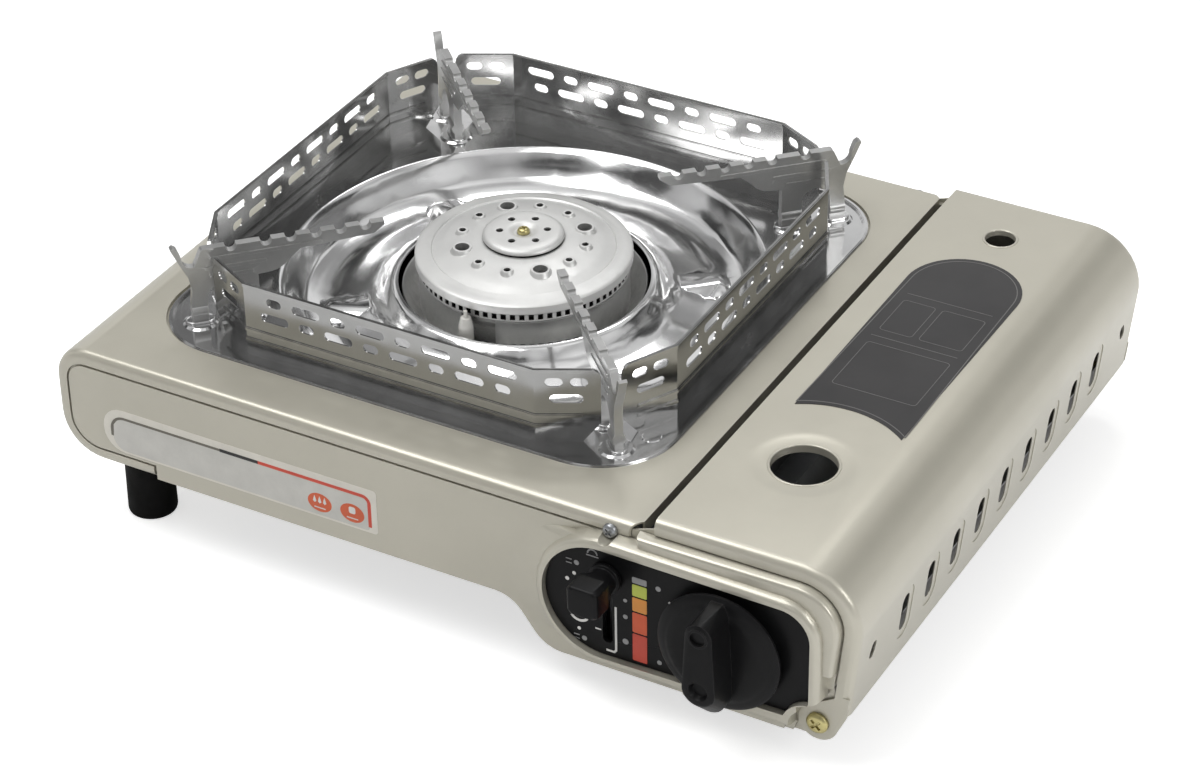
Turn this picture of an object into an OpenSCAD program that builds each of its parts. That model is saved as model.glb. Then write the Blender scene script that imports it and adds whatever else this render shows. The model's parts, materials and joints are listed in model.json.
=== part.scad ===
// Portable cassette stove with a slotted windscreen, in millimetres.
// X runs from the burner side to the cartridge side, Y from front to back,
// Z up from the table. Sizes are taken from the left side, the front flange
// and the table, and the finished stove is then centred on its footprint.

/* [Shell] */
// Overall width over the cover and the closed lid
body_w = 355; // [340:1:430]
// Depth between the front and back flanges
body_d = 270; // [262:1:330]
// Height of the cover's top face
cover_h = 84.2; // [80:0.2:104]
// Height of the underside on the burner side
deck_z = 33.5; // [30:0.5:36]
// Height of the underside on the cartridge side
keel_z = 14; // [12:0.5:16]
// Thickness of the painted sheet steel
shell_t = 0.8; // [0.6:0.1:1]
// Width of the turned-in flange round the cover
flange_w = 5.6; // [4.6:0.2:7]
// Outside radius of the folds along the front and back
fold_r = 3.4; // [2.6:0.2:4.4]
// Radius of the cover's upper left corner
cover_top_r = 15; // [10:0.5:18]
// Radius of the cover's lower left corner
cover_low_r = 19; // [12:0.5:20]
// Where the cover's wrapped underside ends
tongue_x = 44.7; // [40:0.5:60]
// Visible gap between a flange and the front panel
seam = 1; // [0.6:0.1:1.6]

/* [Lid] */
// Width from the cover's right edge to the lid's outer side
bay_w = 90.1; // [86:0.5:110]
// Width of the groove between the cover and the lid
groove_w = 6.3; // [4:0.1:8]
// Height of the lid's top above the cover
lid_rise = 5; // [3:0.2:7]
// Radius of the lid's shoulder
lid_r = 24; // [16:0.5:28]
// Inward lean of the lid's side wall in degrees
lid_lean = 6.2; // [3:0.2:8]
// Height of the lid wall's lower edge
lid_foot_z = 27; // [24:0.5:32]
// Width of the lid's turned-in flange
lid_flange_w = 6.2; // [5:0.2:8]
// Distance of the hinge line from the lid's outer side
hinge_in = 15.8; // [14:0.2:18]
// Height of the hinge line
hinge_z = 21.4; // [20:0.2:23]
// Radius of the lid's hinge ear
ear_r = 8; // [6:0.5:9]
// Radius of the hinge screw's shank
hinge_pin_r = 2; // [1.5:0.1:3]
// Radius of the round opening near the lid's front
lid_hole_r = 12.9; // [8:0.1:16]
// Distance of that opening from the front
lid_hole_y = 58.3; // [50:0.5:70]
// Radius of the small hole near the lid's back
lid_vent_r = 6.3; // [4:0.1:9]
// Distance of the small hole from the back
lid_vent_in = 30.2; // [24:0.2:40]
// Number of vent slots in the lid's side wall
slot_n = 9; // [5:1:9]
// Pitch of the vent slots
slot_pitch = 22.9; // [18:0.1:24]
// Height of one vent slot
slot_h = 16.5; // [10:0.5:20]
// Width of one vent slot
slot_w = 6; // [4:0.1:8]
// Height of the vent slots' centre
slot_z = 48; // [42:0.5:54]
// Depth of the dimple pressed in round each vent slot
dimple = 0.35; // [0.2:0.05:0.5]

/* [Drip pan] */
// Distance of the burner's axis from the left side
pan_x = 137.6; // [130:0.2:150]
// Distance of the burner's axis from the front
pan_y = 137; // [130:0.5:165]
// Half the side of the square opening in the cover
pan_half = 114; // [108:0.5:120]
// Corner radius of that opening
pan_corner = 32.7; // [24:0.5:40]
// Gap between the opening and the pan's rolled rim
pan_gap = 0.9; // [0.6:0.1:1.5]
// Depth of the pan's flat below the cover's top
pan_drop = 1; // [0.6:0.1:2]
// Thickness of the pan's sheet
pan_t = 0.7; // [0.5:0.1:1]
// Radius of the round bowl's upper edge
bowl_r = 100.5; // [90:0.5:102]
// Depth of the bowl below the pan's flat
bowl_depth = 14; // [8:0.5:15]
// Radius of the hole round the burner
pan_hole_r = 51.8; // [50:0.2:56]
// Height of the four pads pressed up in the bowl
pad_h = 3.6; // [2:0.1:5]
// Height of the hole's lip below the pan's flat
lip_drop = 2.8; // [2:0.2:8]

/* [Pot supports] */
// Height of the support's top edge above the pan's flat
support_h = 34.3; // [28:0.1:42]
// Height of the outer horn above the support's top edge
horn_h = 2.5; // [0:0.1:4]
// Thickness of the support's plate without its ribs
support_t = 3.4; // [2:0.1:4]
// Height of the raised ribs on the plate's faces
rib_h = 0.4; // [0.2:0.1:0.6]
// Distance of the support's inner tip from the burner's axis
support_tip_r = 57.5; // [52:0.5:64]
// Distance of the first notch from the burner's axis
notch_first_r = 65.3; // [62:0.1:70]
// Pitch of the notches
notch_pitch = 10.1; // [8:0.1:11]
// Number of notches
notch_n = 6; // [3:1:6]
// Radius of one notch
notch_r = 2.3; // [1.5:0.1:3.2]

/* [Windscreens] */
// Distance of a windscreen's straight part from the burner's axis
screen_off = 104.9; // [103:0.1:106]
// Half length of the straight part
screen_half = 65.2; // [55:0.2:68]
// Length of each bent end
screen_end = 25.2; // [16:0.2:26]
// Angle of the bent ends in degrees
screen_bend = 27.2; // [20:0.2:34]
// Height of a windscreen
screen_h = 32.9; // [26:0.1:36]
// Thickness of the windscreen's sheet
screen_t = 0.6; // [0.4:0.1:1]
// Length of a long slot
slot_long = 12.8; // [9:0.1:13]
// Length of a short slot
slot_short = 6.8; // [5:0.1:8]
// Height of the slots
slot_tall = 3.9; // [2.5:0.1:4.4]
// Metal left between two slots
slot_bridge = 4.9; // [4:0.1:8]
// Number of slots in one row of the straight part
slot_count = 8; // [2:2:8]

/* [Burner] */
// Radius of the burner cap
cap_r = 44.6; // [40:0.1:45]
// Height of the cap's rim above the pan's flat
cap_rise = 10.4; // [8:0.2:14]
// Crown of the cap above its rim
cap_crown = 7.2; // [5:0.2:9]
// Radius of the ring of holes in the cap
cap_hole_ring = 25.8; // [23:0.1:29]
// Radius of the centre disc
disc_r = 16.8; // [14:0.1:19]
// Number of flame ports round the burner
port_n = 72; // [36:6:90]
// Radius of the steel skirt through the pan's hole
skirt_r = 43.3; // [43:0.1:45]
// Radius of the mixing tube's body
tube_r = 9; // [7:0.1:9.5]

/* [Controls] */
// Distance of the knob's axis from the lid's outer side
knob_in = 52.5; // [50:0.5:56]
// Height of the knob's axis
knob_z = 46.5; // [45:0.5:48]
// Radius of the knob's skirt
knob_r = 25.2; // [22:0.2:27]
// Reach of the knob's grip in front of the front flange
knob_reach = 26; // [20:0.5:32]
// Width of the knob's grip bar
grip_w = 13.6; // [9:0.2:16]
// Height of the knob's grip bar
grip_h = 45; // [36:0.5:48]
// Radius of the round mark near the top of the grip's face
grip_mark_r = 4.7; // [3:0.1:5]
// Radius of the valve spindle
spindle_r = 3; // [2.5:0.1:4]
// Reach of the raised frame in front of the front flange
boss_reach = 7; // [5:0.2:8]
// Depth of the black fascia behind the raised frame's crest
fascia_sink = 2.5; // [1.5:0.1:3]
// Radius of the fascia's round left end
fascia_r = 24.8; // [22:0.2:25]
// Distance of the fascia's round end from the lid's outer side
fascia_in = 103; // [100:0.5:106]
// Width of the lock lever's button
lever_w = 13.4; // [11:0.1:15]
// Height of the lock lever's button
lever_h = 13.5; // [10:0.1:15]
// Travel of the lock lever
lever_travel = 24; // [16:1:24]
// Travel of the cartridge carriage
carriage_travel = 6; // [4:0.5:6]

/* [Cartridge bay] */
// Radius of the cradle under the cartridge
cradle_r = 36; // [34:0.5:36]
// Length between the regulator and the carriage's pusher at rest
cartridge_len = 196; // [180:1:200]

/* [Feet and screws] */
// Radius of the feet
foot_r = 10.2; // [7:0.1:11]
// Distance of the left feet from the left side
foot_in = 25.9; // [24:0.1:32]
// Distance of the left feet from the front and the back
foot_y_in = 21.2; // [18:0.2:40]
// Radius of the hinge screw's head
hinge_head_r = 4.4; // [4:0.1:6]
// Radius of the cover screw's head
cover_head_r = 3; // [2.6:0.1:4]
// Height of the screw heads
screw_head_h = 2.2; // [1.5:0.1:3]

/* [Hidden] */
$fn = 48;

run_gap = 0.05;                       // radial gap of a running fit
air = 0.3;                            // gap between moving neighbours
cover_w = body_w - bay_w;             // cover's right edge
lid_x = cover_w + groove_w;           // lid's left edge
lid_h = cover_h + lid_rise;           // lid's top face
hinge_x = body_w - hinge_in;
rim_z = cover_h - pan_drop;           // the pan's flat
tray_edge = body_w - 10;              // tray's right wall
tray_rim_z = 33;                      // top of the tray's right wall
sway_r = 14.5;                        // radii of the step in the underside
sway_a = body_w - 153;
sway_b = body_w - 124;
sway_dx = sway_b - sway_a;
sway_dz = keel_z - deck_z + 2 * sway_r;
sway_span = sqrt(sway_dx * sway_dx + sway_dz * sway_dz);
sway_ang = asin(min(1, 2 * sway_r / sway_span)) - atan2(sway_dz, sway_dx);
edge_r = 6;                           // tray's lower right corner
panel_y = 1.2;                        // where the panels tuck behind a flange
panel_t = 0.8;
tuck = 2.6;                           // panel border's inset behind the cover
lid_tuck = 3.2;                       // the same behind the lid
knob_x = body_w - knob_in;
fascia_x = body_w - fascia_in;
fascia_y = fascia_sink - boss_reach;  // fascia's face
fascia_top_r = 12;
fascia_right = body_w - 17;
fascia_low = knob_z - 22.8;
ear_room = ear_r + 4;
lever_x = fascia_x + 1.6;
lever_z = knob_z + 14.5;
lever_front = fascia_y - 19.5;
stem_w = 2.6;
stem_h = 8;
pin_y = 18;
pin_z = knob_z - 0.5;
pin_r = 1.5;
wall_x = cover_w - 3.8;               // partition wall
bulk_y = 46;                          // bulkhead behind the regulator
carriage_t = 1;
carriage_z = keel_z + shell_t + air;
pusher_y = bulk_y + cartridge_len;
cradle_z = carriage_z + carriage_t + air + 0.1 + shell_t + cradle_r;
outlet_z = deck_z + 20.5;             // axis of the mixing tube
outlet_y = 34;
outlet_x = wall_x - 3;
tube_dx = pan_x - outlet_x;
tube_dy = pan_y - outlet_y;
tube_ang = atan2(tube_dy, tube_dx);
tube_run = sqrt(tube_dx * tube_dx + tube_dy * tube_dy);
bowl_top = rim_z + 2;                 // burner bowl's upper face
bowl_low = deck_z + 17;               // burner bowl's underside
ring_top = rim_z + 5.8;                // where the cap sits on the ports
disc_hole_ring = 9.7;                 // ring of holes in the centre disc
boss_z = rim_z + 0.8;                 // raised bosses under the legs
leg_a = 109.8;
leg_b = 118.7;
leg_c = 131;
leg_d = 137.5;
electrode_r = 47;
lead_r = 1.3;
piezo_x = fascia_x - 29.5;
back_head = body_d + screw_head_h + 0.1;

module in_frame() {
  translate([-body_w / 2, -(back_head - knob_reach) / 2, 0]) children();
}

module at_burner() {
  translate([pan_x, pan_y, 0]) children();
}

// Turns a drawing in X and Z into a solid of the given depth from y0.
module along_y(y0, depth) {
  translate([0, y0 + depth, 0])
    rotate([90, 0, 0])
      linear_extrude(depth) children();
}

// A rod along Y from y0.
module rod_y(x, z, r, y0, len) {
  translate([x, y0 + len, z])
    rotate([90, 0, 0]) cylinder(h = len, r = r);
}

// A rod along X from x0.
module rod_x(y, z, r, x0, len) {
  translate([x0, y, z])
    rotate([0, 90, 0]) cylinder(h = len, r = r);
}

function arc(cx, cz, r, a0, a1, n) =
  [for (i = [0:n]) let (a = a0 + (a1 - a0) * i / n)
    [cx + r * cos(a), cz + r * sin(a)]];

// Skins a stack of equally long outlines, each [y, outline in X and Z].
module loft(stack) {
  n = len(stack[0][1]);
  m = len(stack);
  pts = [for (s = stack) for (p = s[1]) [p[0], s[0], p[1]]];
  sides = [for (k = [0:m - 2]) for (i = [0:n - 1])
    let (j = (i + 1) % n)
    [(k + 1) * n + i, (k + 1) * n + j, k * n + j, k * n + i]];
  front = [[for (i = [0:n - 1]) i]];
  back = [[for (i = [n - 1:-1:0]) (m - 1) * n + i]];
  polyhedron(points = pts, faces = concat(front, sides, back));
}

// Insets and places of a quarter fold of radius r that starts at y0.
function fold(y0, r, way) =
  [for (a = [90, 60, 30, 0]) [y0 + way * r * (1 - sin(a)), r * (1 - cos(a))]];

// Outline of the cover's section; grow moves its open side outwards.
function cover_pts(d, grow) = concat(
  [[cover_w + grow, deck_z + d]],
  arc(cover_low_r, deck_z + cover_low_r, cover_low_r - d, 270, 180, 9),
  arc(cover_top_r, cover_h - cover_top_r, cover_top_r - d, 180, 90, 8),
  [[cover_w + grow, cover_h - d]]);

// Outline of the lid's section, open to the left and below.
function lid_pts(d, grow) = concat(
  [[lid_x - grow, lid_h - d]],
  arc(body_w - lid_r, lid_h - lid_r, lid_r - d, 90, 0, 10),
  [[body_w - lid_r + (lid_r - d) * cos(lid_lean),
    lid_h - lid_r - (lid_r - d) * sin(lid_lean)]],
  [lid_foot(d, grow), [lid_x - grow, lid_foot_z - grow]]);

function lid_foot(d, grow) =
  let (x0 = body_w - lid_r + (lid_r - d) * cos(lid_lean),
       z0 = lid_h - lid_r - (lid_r - d) * sin(lid_lean),
       z1 = lid_foot_z - grow)
  [x0 - (z0 - z1) * tan(lid_lean), z1];

module folded_block(which, d, grow) {
  ends = concat(
    [for (f = fold(d, fold_r - d, 1)) [f[0], d + f[1]]],
    [for (f = fold(body_d - d, fold_r - d, -1)) [f[0], d + f[1]]]);
  order = [0, 1, 2, 3, 7, 6, 5, 4];
  loft([for (k = order)
    [ends[k][0], which == "lid" ? lid_pts(ends[k][1], grow)
      : cover_pts(ends[k][1], grow)]]);
}

// Line of the underside from the burner side to the tray's right wall.
function under_pts(d) = concat(
  arc(sway_a, deck_z - sway_r, sway_r + d, 90, 90 - sway_ang, 6),
  arc(sway_b, keel_z + sway_r, sway_r - d, 270 - sway_ang, 270, 6));

function reversed(v) = [for (i = [len(v) - 1:-1:0]) v[i]];

function turned(a, b) = let (d = (b - a) / norm(b - a)) [d[1], -d[0]];

// A bent line moved sideways by t, with mitred corners.
function beside(v, t) = [for (i = [0:len(v) - 1])
  let (a = turned(v[max(i - 1, 0)], v[max(i, 1)]),
       b = turned(v[min(i, len(v) - 2)], v[min(i + 1, len(v) - 1)]))
  v[i] + t * (a + b) / (1 + a * b)];

module square_ring(half, corner) {
  offset(r = corner) square(2 * (half - corner), center = true);
}

// ---- shell ----

module base_tray() {
  line = concat([[tongue_x + 0.5, deck_z]], under_pts(0),
    arc(tray_edge - edge_r, keel_z + edge_r, edge_r, 270, 360, 4),
    [[tray_edge, tray_rim_z]]);
  top = concat([[tongue_x + 0.5, deck_z + shell_t]], under_pts(shell_t),
    arc(tray_edge - edge_r, keel_z + edge_r, edge_r - shell_t, 270, 360, 4),
    [[tray_edge - shell_t, tray_rim_z]]);
  y0 = panel_y + panel_t;
  color("darkkhaki") in_frame() difference() {
    union() {
      along_y(y0, body_d - 2 * y0) polygon(concat(line, reversed(top)));
      // Joggled edge that lies on the cover's wrapped underside
      along_y(y0 + 3, body_d - 2 * y0 - 6)
        polygon([[tongue_x - 14, deck_z + shell_t],
          [tongue_x + 0.5, deck_z + shell_t],
          [tongue_x + 0.5, deck_z + shell_t / 2],
          [tongue_x + 2, deck_z + shell_t / 2],
          [tongue_x + 2, deck_z + 2 * shell_t],
          [tongue_x - 14, deck_z + 2 * shell_t]]);
    }
    // Air slots under the burner
    for (i = [-2:2])
      translate([pan_x + 18 * i, pan_y, deck_z])
        linear_extrude(6 * shell_t, center = true) slot_shape(40, 5, 90);
    // Drain and air holes under the cartridge
    for (i = [0:3])
      translate([body_w - 51, body_d * (0.3 + 0.15 * i), keel_z])
        cylinder(h = 4, r = 4, center = true);
  }
}

module slot_shape(long, wide, ang) {
  rotate(ang) {
    square([long - wide, wide], center = true);
    for (s = [-1, 1]) translate([s * (long - wide) / 2, 0]) circle(wide / 2);
  }
}

module top_cover() {
  ledge = 6.5;
  seat_z = rim_z - pan_t - shell_t;
  color("tan") in_frame() difference() {
    union() {
      difference() {
        folded_block("cover", 0, 0);
        folded_block("cover", shell_t, 6);
        // Field inside the front and back flanges
        along_y(-1, body_d + 2) polygon(cover_pts(flange_w, 20));
        // The wrapped underside ends here
        translate([tongue_x, -1, deck_z - 1])
          cube([body_w, body_d + 2, flange_w + 3]);
        at_burner() translate([0, 0, cover_h - 3])
          linear_extrude(6) square_ring(pan_half, pan_corner);
      }
      // Sunk seat that carries the pan's rim
      at_burner() translate([0, 0, seat_z]) linear_extrude(shell_t)
        difference() {
          square_ring(pan_half + shell_t, pan_corner + shell_t);
          square_ring(pan_half - ledge, pan_corner - ledge);
        }
      at_burner() translate([0, 0, seat_z + 0.2])
        linear_extrude(cover_h - 0.3 - seat_z - 0.2) difference() {
          square_ring(pan_half + shell_t, pan_corner + shell_t);
          square_ring(pan_half, pan_corner);
        }
      // Turned-down edge along the groove
      translate([cover_w - shell_t, fold_r + 1, cover_h - 6])
        cube([shell_t, body_d - 2 * fold_r - 2, 5.6]);
    }
    // Corners cut away beside the groove
    for (m = [0, 1])
      translate([0, m * body_d, 0]) mirror([0, m, 0])
        translate([cover_w - 5.5, -1, cover_h - 12])
          rotate([0, 0, -45]) cube([12, 12, 14]);
    for (y = [-1, body_d - 4])
      rod_y(cover_w - 11.8, cover_h - 4.9, 1.6 + run_gap, y, 5);
  }
}

// Field of a panel that lies flush inside the flanges.
function field_pts(d, e, drop) = concat(
  [[tongue_x + 1.3, deck_z + drop], [tongue_x + 1.3, deck_z + d]],
  arc(cover_low_r, deck_z + cover_low_r, cover_low_r - d, 270, 180, 9),
  arc(cover_top_r, cover_h - cover_top_r, cover_top_r - d, 180, 90, 8),
  [[cover_w - 3, cover_h - d], [lid_x + 3, lid_h - e]],
  arc(body_w - lid_r, lid_h - lid_r, lid_r - e, 90, -lid_lean, 11),
  [[hinge_x + 6, hinge_z + 18], [hinge_x - 4, hinge_z + 12],
   [hinge_x - 10, keel_z + drop]],
  reversed(under_pts(drop)));

module panel_plate() {
  f = flange_w + seam;
  e = lid_flange_w + seam;
  along_y(0, 1.4) polygon(field_pts(f, e, 0));
  difference() {
    along_y(panel_y, panel_t) polygon(field_pts(tuck, lid_tuck, 0));
    along_y(0, 5) polygon(field_pts(f + 0.8, e + 0.8, 0.8));
  }
  // Lug behind the lid's ear
  difference() {
    along_y(panel_y, panel_t) polygon([[hinge_x - 11, keel_z],
      [hinge_x, keel_z], [hinge_x + 5.8, keel_z + 6],
      [hinge_x + 5.8, hinge_z + 17], [hinge_x - 11, hinge_z + 12]]);
    rod_y(hinge_x, hinge_z, hinge_pin_r + run_gap, 0, 5);
  }
  // Ledge bridging the groove between cover and lid
  along_y(panel_y, panel_t)
    polygon([[cover_w - 9, cover_h - f - 1], [lid_x + 8, cover_h - f - 1],
      [lid_x + 7, cover_h - 3.2], [cover_w - 8, cover_h - 3.2]]);
  translate([cover_w - 8, panel_y, cover_h - 3.2 - shell_t])
    cube([groove_w + 15, 3, shell_t]);
}

// Outline of the fascia, grown by g.
module fascia_shape(g) {
  difference() {
    hull() {
      translate([fascia_x, knob_z + 2.3]) circle(fascia_r + g, $fn = 64);
      translate([fascia_right - fascia_top_r, knob_z + 14.3])
        circle(fascia_top_r + g, $fn = 40);
      translate([fascia_right - 4, fascia_low + 2 - g])
        square([4 + g, 4]);
    }
    translate([hinge_x, hinge_z]) circle(ear_room - g, $fn = 40);
  }
}

// Convex outline round the fascia, grown by g all round.
function frame_pts(g) = concat(
  arc(fascia_x, knob_z + 2.3, fascia_r + g, 270, 92, 12),
  arc(fascia_right - fascia_top_r, knob_z + 14.3, fascia_top_r + g, 88, 0, 5),
  arc(fascia_right - 6, fascia_low + 6, 6 + g, 0, -88, 4));

// Raised ground beside the lid, set in by d from the lid's flange.
function ground_pts(d) = let (e = d + lid_flange_w + 0.7) concat(
  [[cover_w + d, knob_z], [cover_w + d, lid_h - e]],
  arc(body_w - lid_r, lid_h - lid_r, lid_r - e, 90, -lid_lean, 8),
  [lid_foot(e, lid_foot_z - knob_z)]);

module front_panel() {
  step = boss_reach * 0.54;
  color("burlywood") in_frame() difference() {
    union() {
      panel_plate();
      // Swelling that runs out to the left of the fascia
      intersection() {
        hull() {
          along_y(0, 0.8) translate([fascia_x - 16, knob_z + 2])
            circle(fascia_r + 1, $fn = 40);
          along_y(-step, 1) polygon(frame_pts(3));
        }
        along_y(-boss_reach, boss_reach + 1.4) polygon(concat(
          [[fascia_x - 60, cover_h - flange_w - seam],
           [fascia_x - 60, deck_z]], under_pts(0),
          [[body_w, keel_z], [body_w, cover_h - flange_w - seam]]));
      }
      // Raised ground beside the lid
      loft([[-step, ground_pts(2.2)], [-step + 0.5, ground_pts(1.1)],
        [-step + 1.4, ground_pts(0.4)], [1, ground_pts(0)]]);
      along_y(-step, step + 1) polygon([[cover_w + 20, knob_z + 1],
        [fascia_right + 3.6, knob_z + 1], [fascia_right + 3.6, hinge_z + 14],
        [hinge_x - 10, hinge_z + 12], [hinge_x - 12, keel_z + 2.5],
        [cover_w + 20, keel_z + 2.5]]);
      // Bright rim round the fascia
      loft([[-boss_reach, frame_pts(1.6)],
        [-boss_reach + 0.3, frame_pts(2.5)],
        [-boss_reach + 1, frame_pts(3.3)],
        [-boss_reach + 2, frame_pts(3.9)], [0.5, frame_pts(4.8)]]);
    }
    along_y(-boss_reach - 2, boss_reach + 6) fascia_shape(0.3);
    // Room for the lid's ear and its screw
    rod_y(hinge_x, hinge_z, ear_r + 1.2, -20, 20 + panel_y);
    along_y(-20, 20 + panel_y) polygon([[hinge_x - 2, hinge_z - 14],
      [hinge_x + 30, hinge_z - 14], [hinge_x + 30, lid_foot_z + 9.5],
      [hinge_x + 6, lid_foot_z + 9.5], [hinge_x - 6, hinge_z + 9.5]]);
    rod_y(cover_w - 11.8, cover_h - 4.9, 1.6 + run_gap, -1, 5);
    rod_y(cover_w - 11.8, cover_h - 4.9, cover_head_r + air, -20, 20);
    rod_y(hinge_x, hinge_z, hinge_pin_r + run_gap, 0, 5);
  }
}

module back_panel() {
  color("burlywood") in_frame()
    translate([0, body_d, 0]) mirror([0, 1, 0]) difference() {
      panel_plate();
      rod_y(hinge_x, hinge_z, ear_r + 1.2, -20, 20 + panel_y);
      along_y(-20, 20 + panel_y) polygon([[hinge_x - 2, hinge_z - 14],
        [hinge_x + 30, hinge_z - 14], [hinge_x + 30, lid_foot_z + 9.5],
        [hinge_x + 6, lid_foot_z + 9.5], [hinge_x - 6, hinge_z + 9.5]]);
      rod_y(cover_w - 11.8, cover_h - 4.9, 1.6 + run_gap, -1, 5);
      rod_y(hinge_x, hinge_z, hinge_pin_r + run_gap, 0, 5);
    }
}

module partition_wall() {
  y0 = panel_y + panel_t + 0.6;
  z0 = keel_z + shell_t;
  color("silver") in_frame() difference() {
    union() {
      translate([wall_x, y0, z0])
        cube([shell_t, body_d - 2 * y0, cover_h - 2 * shell_t - 0.2 - z0]);
      translate([wall_x, y0 + 4, z0])
        cube([shell_t, body_d - 2 * y0 - 8, cover_h - shell_t - z0]);
      translate([wall_x, y0 + 8, z0])
        cube([8, body_d - 2 * y0 - 16, shell_t]);
    }
    // Passage of the gas outlet
    rod_x(outlet_y, outlet_z, 8.5, wall_x - 5, 20);
    // Passage of the carriage's arm
    translate([wall_x - 5, pin_y - 16, keel_z])
      cube([20, 30, 5]);
    // Air holes
    for (i = [0:5])
      rod_x(body_d * (0.38 + 0.1 * i), cover_h - 18, 4, wall_x - 5, 20);
  }
}

module bay_bulkhead() {
  x0 = wall_x + shell_t;
  x1 = tray_edge - shell_t;
  z0 = keel_z + shell_t;
  color("silver") in_frame() difference() {
    along_y(bulk_y, 1.2) polygon([[x0, z0 + shell_t], [x0 + 8, z0 + shell_t],
      [x0 + 8, z0], [x1 - 3.4, z0], [x1, z0 + 3.4], [x1, tray_rim_z + 24],
      [x1 - 10, cover_h - 10], [x0, cover_h - 8]]);
    rod_y(knob_x, knob_z, 13, bulk_y - 5, 10);
    translate([knob_x - 14, bulk_y - 5, keel_z]) cube([28, 10, 4.5]);
  }
}

module bay_cradle() {
  y0 = bulk_y + 14;
  len = pusher_y - carriage_travel - 2 - y0;
  drop = cradle_z - tray_rim_z;
  reach = sqrt(pow(cradle_r + 0.3, 2) - pow(drop, 2));
  color("silver") in_frame() along_y(y0, len) union() {
    translate([knob_x, cradle_z]) difference() {
      circle(cradle_r + shell_t, $fn = 96);
      circle(cradle_r, $fn = 96);
      translate([-2 * cradle_r, shell_t - drop])
        square([4 * cradle_r, 4 * cradle_r]);
    }
    // Wings that rest on the walls of the bay
    translate([wall_x + shell_t, tray_rim_z])
      square([knob_x - reach - wall_x - shell_t, shell_t]);
    translate([knob_x + reach, tray_rim_z])
      square([tray_edge - knob_x - reach, shell_t]);
  }
}

module left_feet() {
  color("dimgray") in_frame()
    for (y = [foot_y_in, body_d - foot_y_in])
      translate([foot_in, y, 0]) foot(deck_z);
}

module right_feet() {
  color("dimgray") in_frame()
    for (y = [foot_y_in + 26, body_d - foot_y_in - 6])
      translate([body_w - 42, y, 0]) foot(keel_z);
}

module foot(h) {
  rotate_extrude() polygon([[0, 0], [foot_r - 1.2, 0], [foot_r - 0.3, 0.5],
    [foot_r, 1.6], [foot_r - 0.3, h], [0, h]]);
}

// A pan-head screw along Y, head towards the front.
module pan_screw(shank_r, head_r, len) {
  rotate([90, 0, 0]) difference() {
    rotate_extrude() polygon([[0, -len], [shank_r, -len], [shank_r, 0],
      [head_r, 0], [head_r, screw_head_h * 0.45],
      [head_r * 0.86, screw_head_h * 0.8], [head_r * 0.6, screw_head_h],
      [0, screw_head_h]]);
    for (a = [45, 135])
      rotate([0, 0, a]) translate([0, 0, screw_head_h])
        cube([head_r * 1.15, head_r * 0.28, 1.6], center = true);
  }
}

module cover_screws() {
  color("lightgray") in_frame() {
    translate([cover_w - 11.8, 0, cover_h - 4.9]) pan_screw(1.6, cover_head_r, 6);
    translate([cover_w - 11.8, body_d, cover_h - 4.9])
      rotate([0, 0, 180]) pan_screw(1.6, cover_head_r, 6);
  }
}

module hinge_screws() {
  color("goldenrod") in_frame() {
    translate([hinge_x, -0.1, hinge_z])
      pan_screw(hinge_pin_r, hinge_head_r, 6);
    translate([hinge_x, body_d + 0.1, hinge_z])
      rotate([0, 0, 180]) pan_screw(hinge_pin_r, hinge_head_r, 6);
  }
}

// ---- lid ----

module cartridge_lid() {
  cx = knob_x + 1;
  wall_out = body_w - lid_r + lid_r * cos(lid_lean)
    - (lid_h - lid_r - lid_r * sin(lid_lean) - slot_z) * tan(lid_lean);
  color("tan") in_frame() difference() {
    union() {
      difference() {
        folded_block("lid", 0, 0);
        folded_block("lid", shell_t, 6);
        along_y(-1, body_d + 2) polygon(lid_pts(lid_flange_w, 20));
      }
      // Turned-down edge along the groove
      translate([lid_x, fold_r, lid_h - 4])
        cube([shell_t, body_d - 2 * fold_r, 3.6]);
      // Ears that carry the lid on its two screws
      for (y = [0, body_d - shell_t]) along_y(y, shell_t) ear_shape();
      // Turned-down lips of the two round holes
      translate([cx, lid_hole_y, lid_h - 3.6])
        cylinder(h = 3.3, r = lid_hole_r + shell_t);
      translate([cx, body_d - lid_vent_in, lid_h - 2.2])
        cylinder(h = 1.9, r = lid_vent_r + shell_t);
    }
    translate([cx, lid_hole_y, lid_h - 10])
      cylinder(h = 20, r = lid_hole_r);
    translate([cx, body_d - lid_vent_in, lid_h - 10])
      cylinder(h = 20, r = lid_vent_r);
    // Shallow dish pressed round the large hole
    translate([cx, lid_hole_y, lid_h - 0.5])
      cylinder(h = 0.6, r1 = lid_hole_r + 3, r2 = lid_hole_r + 10);
    // Vent slots in the side wall, each in a shallow dimple
    for (i = [0:slot_n - 1])
      translate([wall_out, body_d / 2 + (i - (slot_n - 1) / 2) * slot_pitch,
        slot_z]) rotate([90, 0, 90]) rotate([lid_lean, 0, 0])
          translate([0, 0, -dimple]) linear_extrude(2)
            slot_shape(slot_h + 7.5, slot_w + 6, 90);
    for (i = [0:slot_n - 1])
      translate([body_w - 12, body_d / 2 + (i - (slot_n - 1) / 2) * slot_pitch,
        slot_z]) rotate([90, 0, 90])
          linear_extrude(20) slot_shape(slot_h, slot_w, 90);
    for (s = [-1, 1])
      translate([body_w - 12, body_d / 2 + s * (slot_n * slot_pitch / 2 + 17),
        slot_z + 2]) rotate([90, 0, 90])
          linear_extrude(20) slot_shape(7.4, 4.2, 90 + s * 20);
    for (y = [-2, body_d - 3])
      rod_y(hinge_x, hinge_z, hinge_pin_r + run_gap, y, 5);
  }
}

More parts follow.
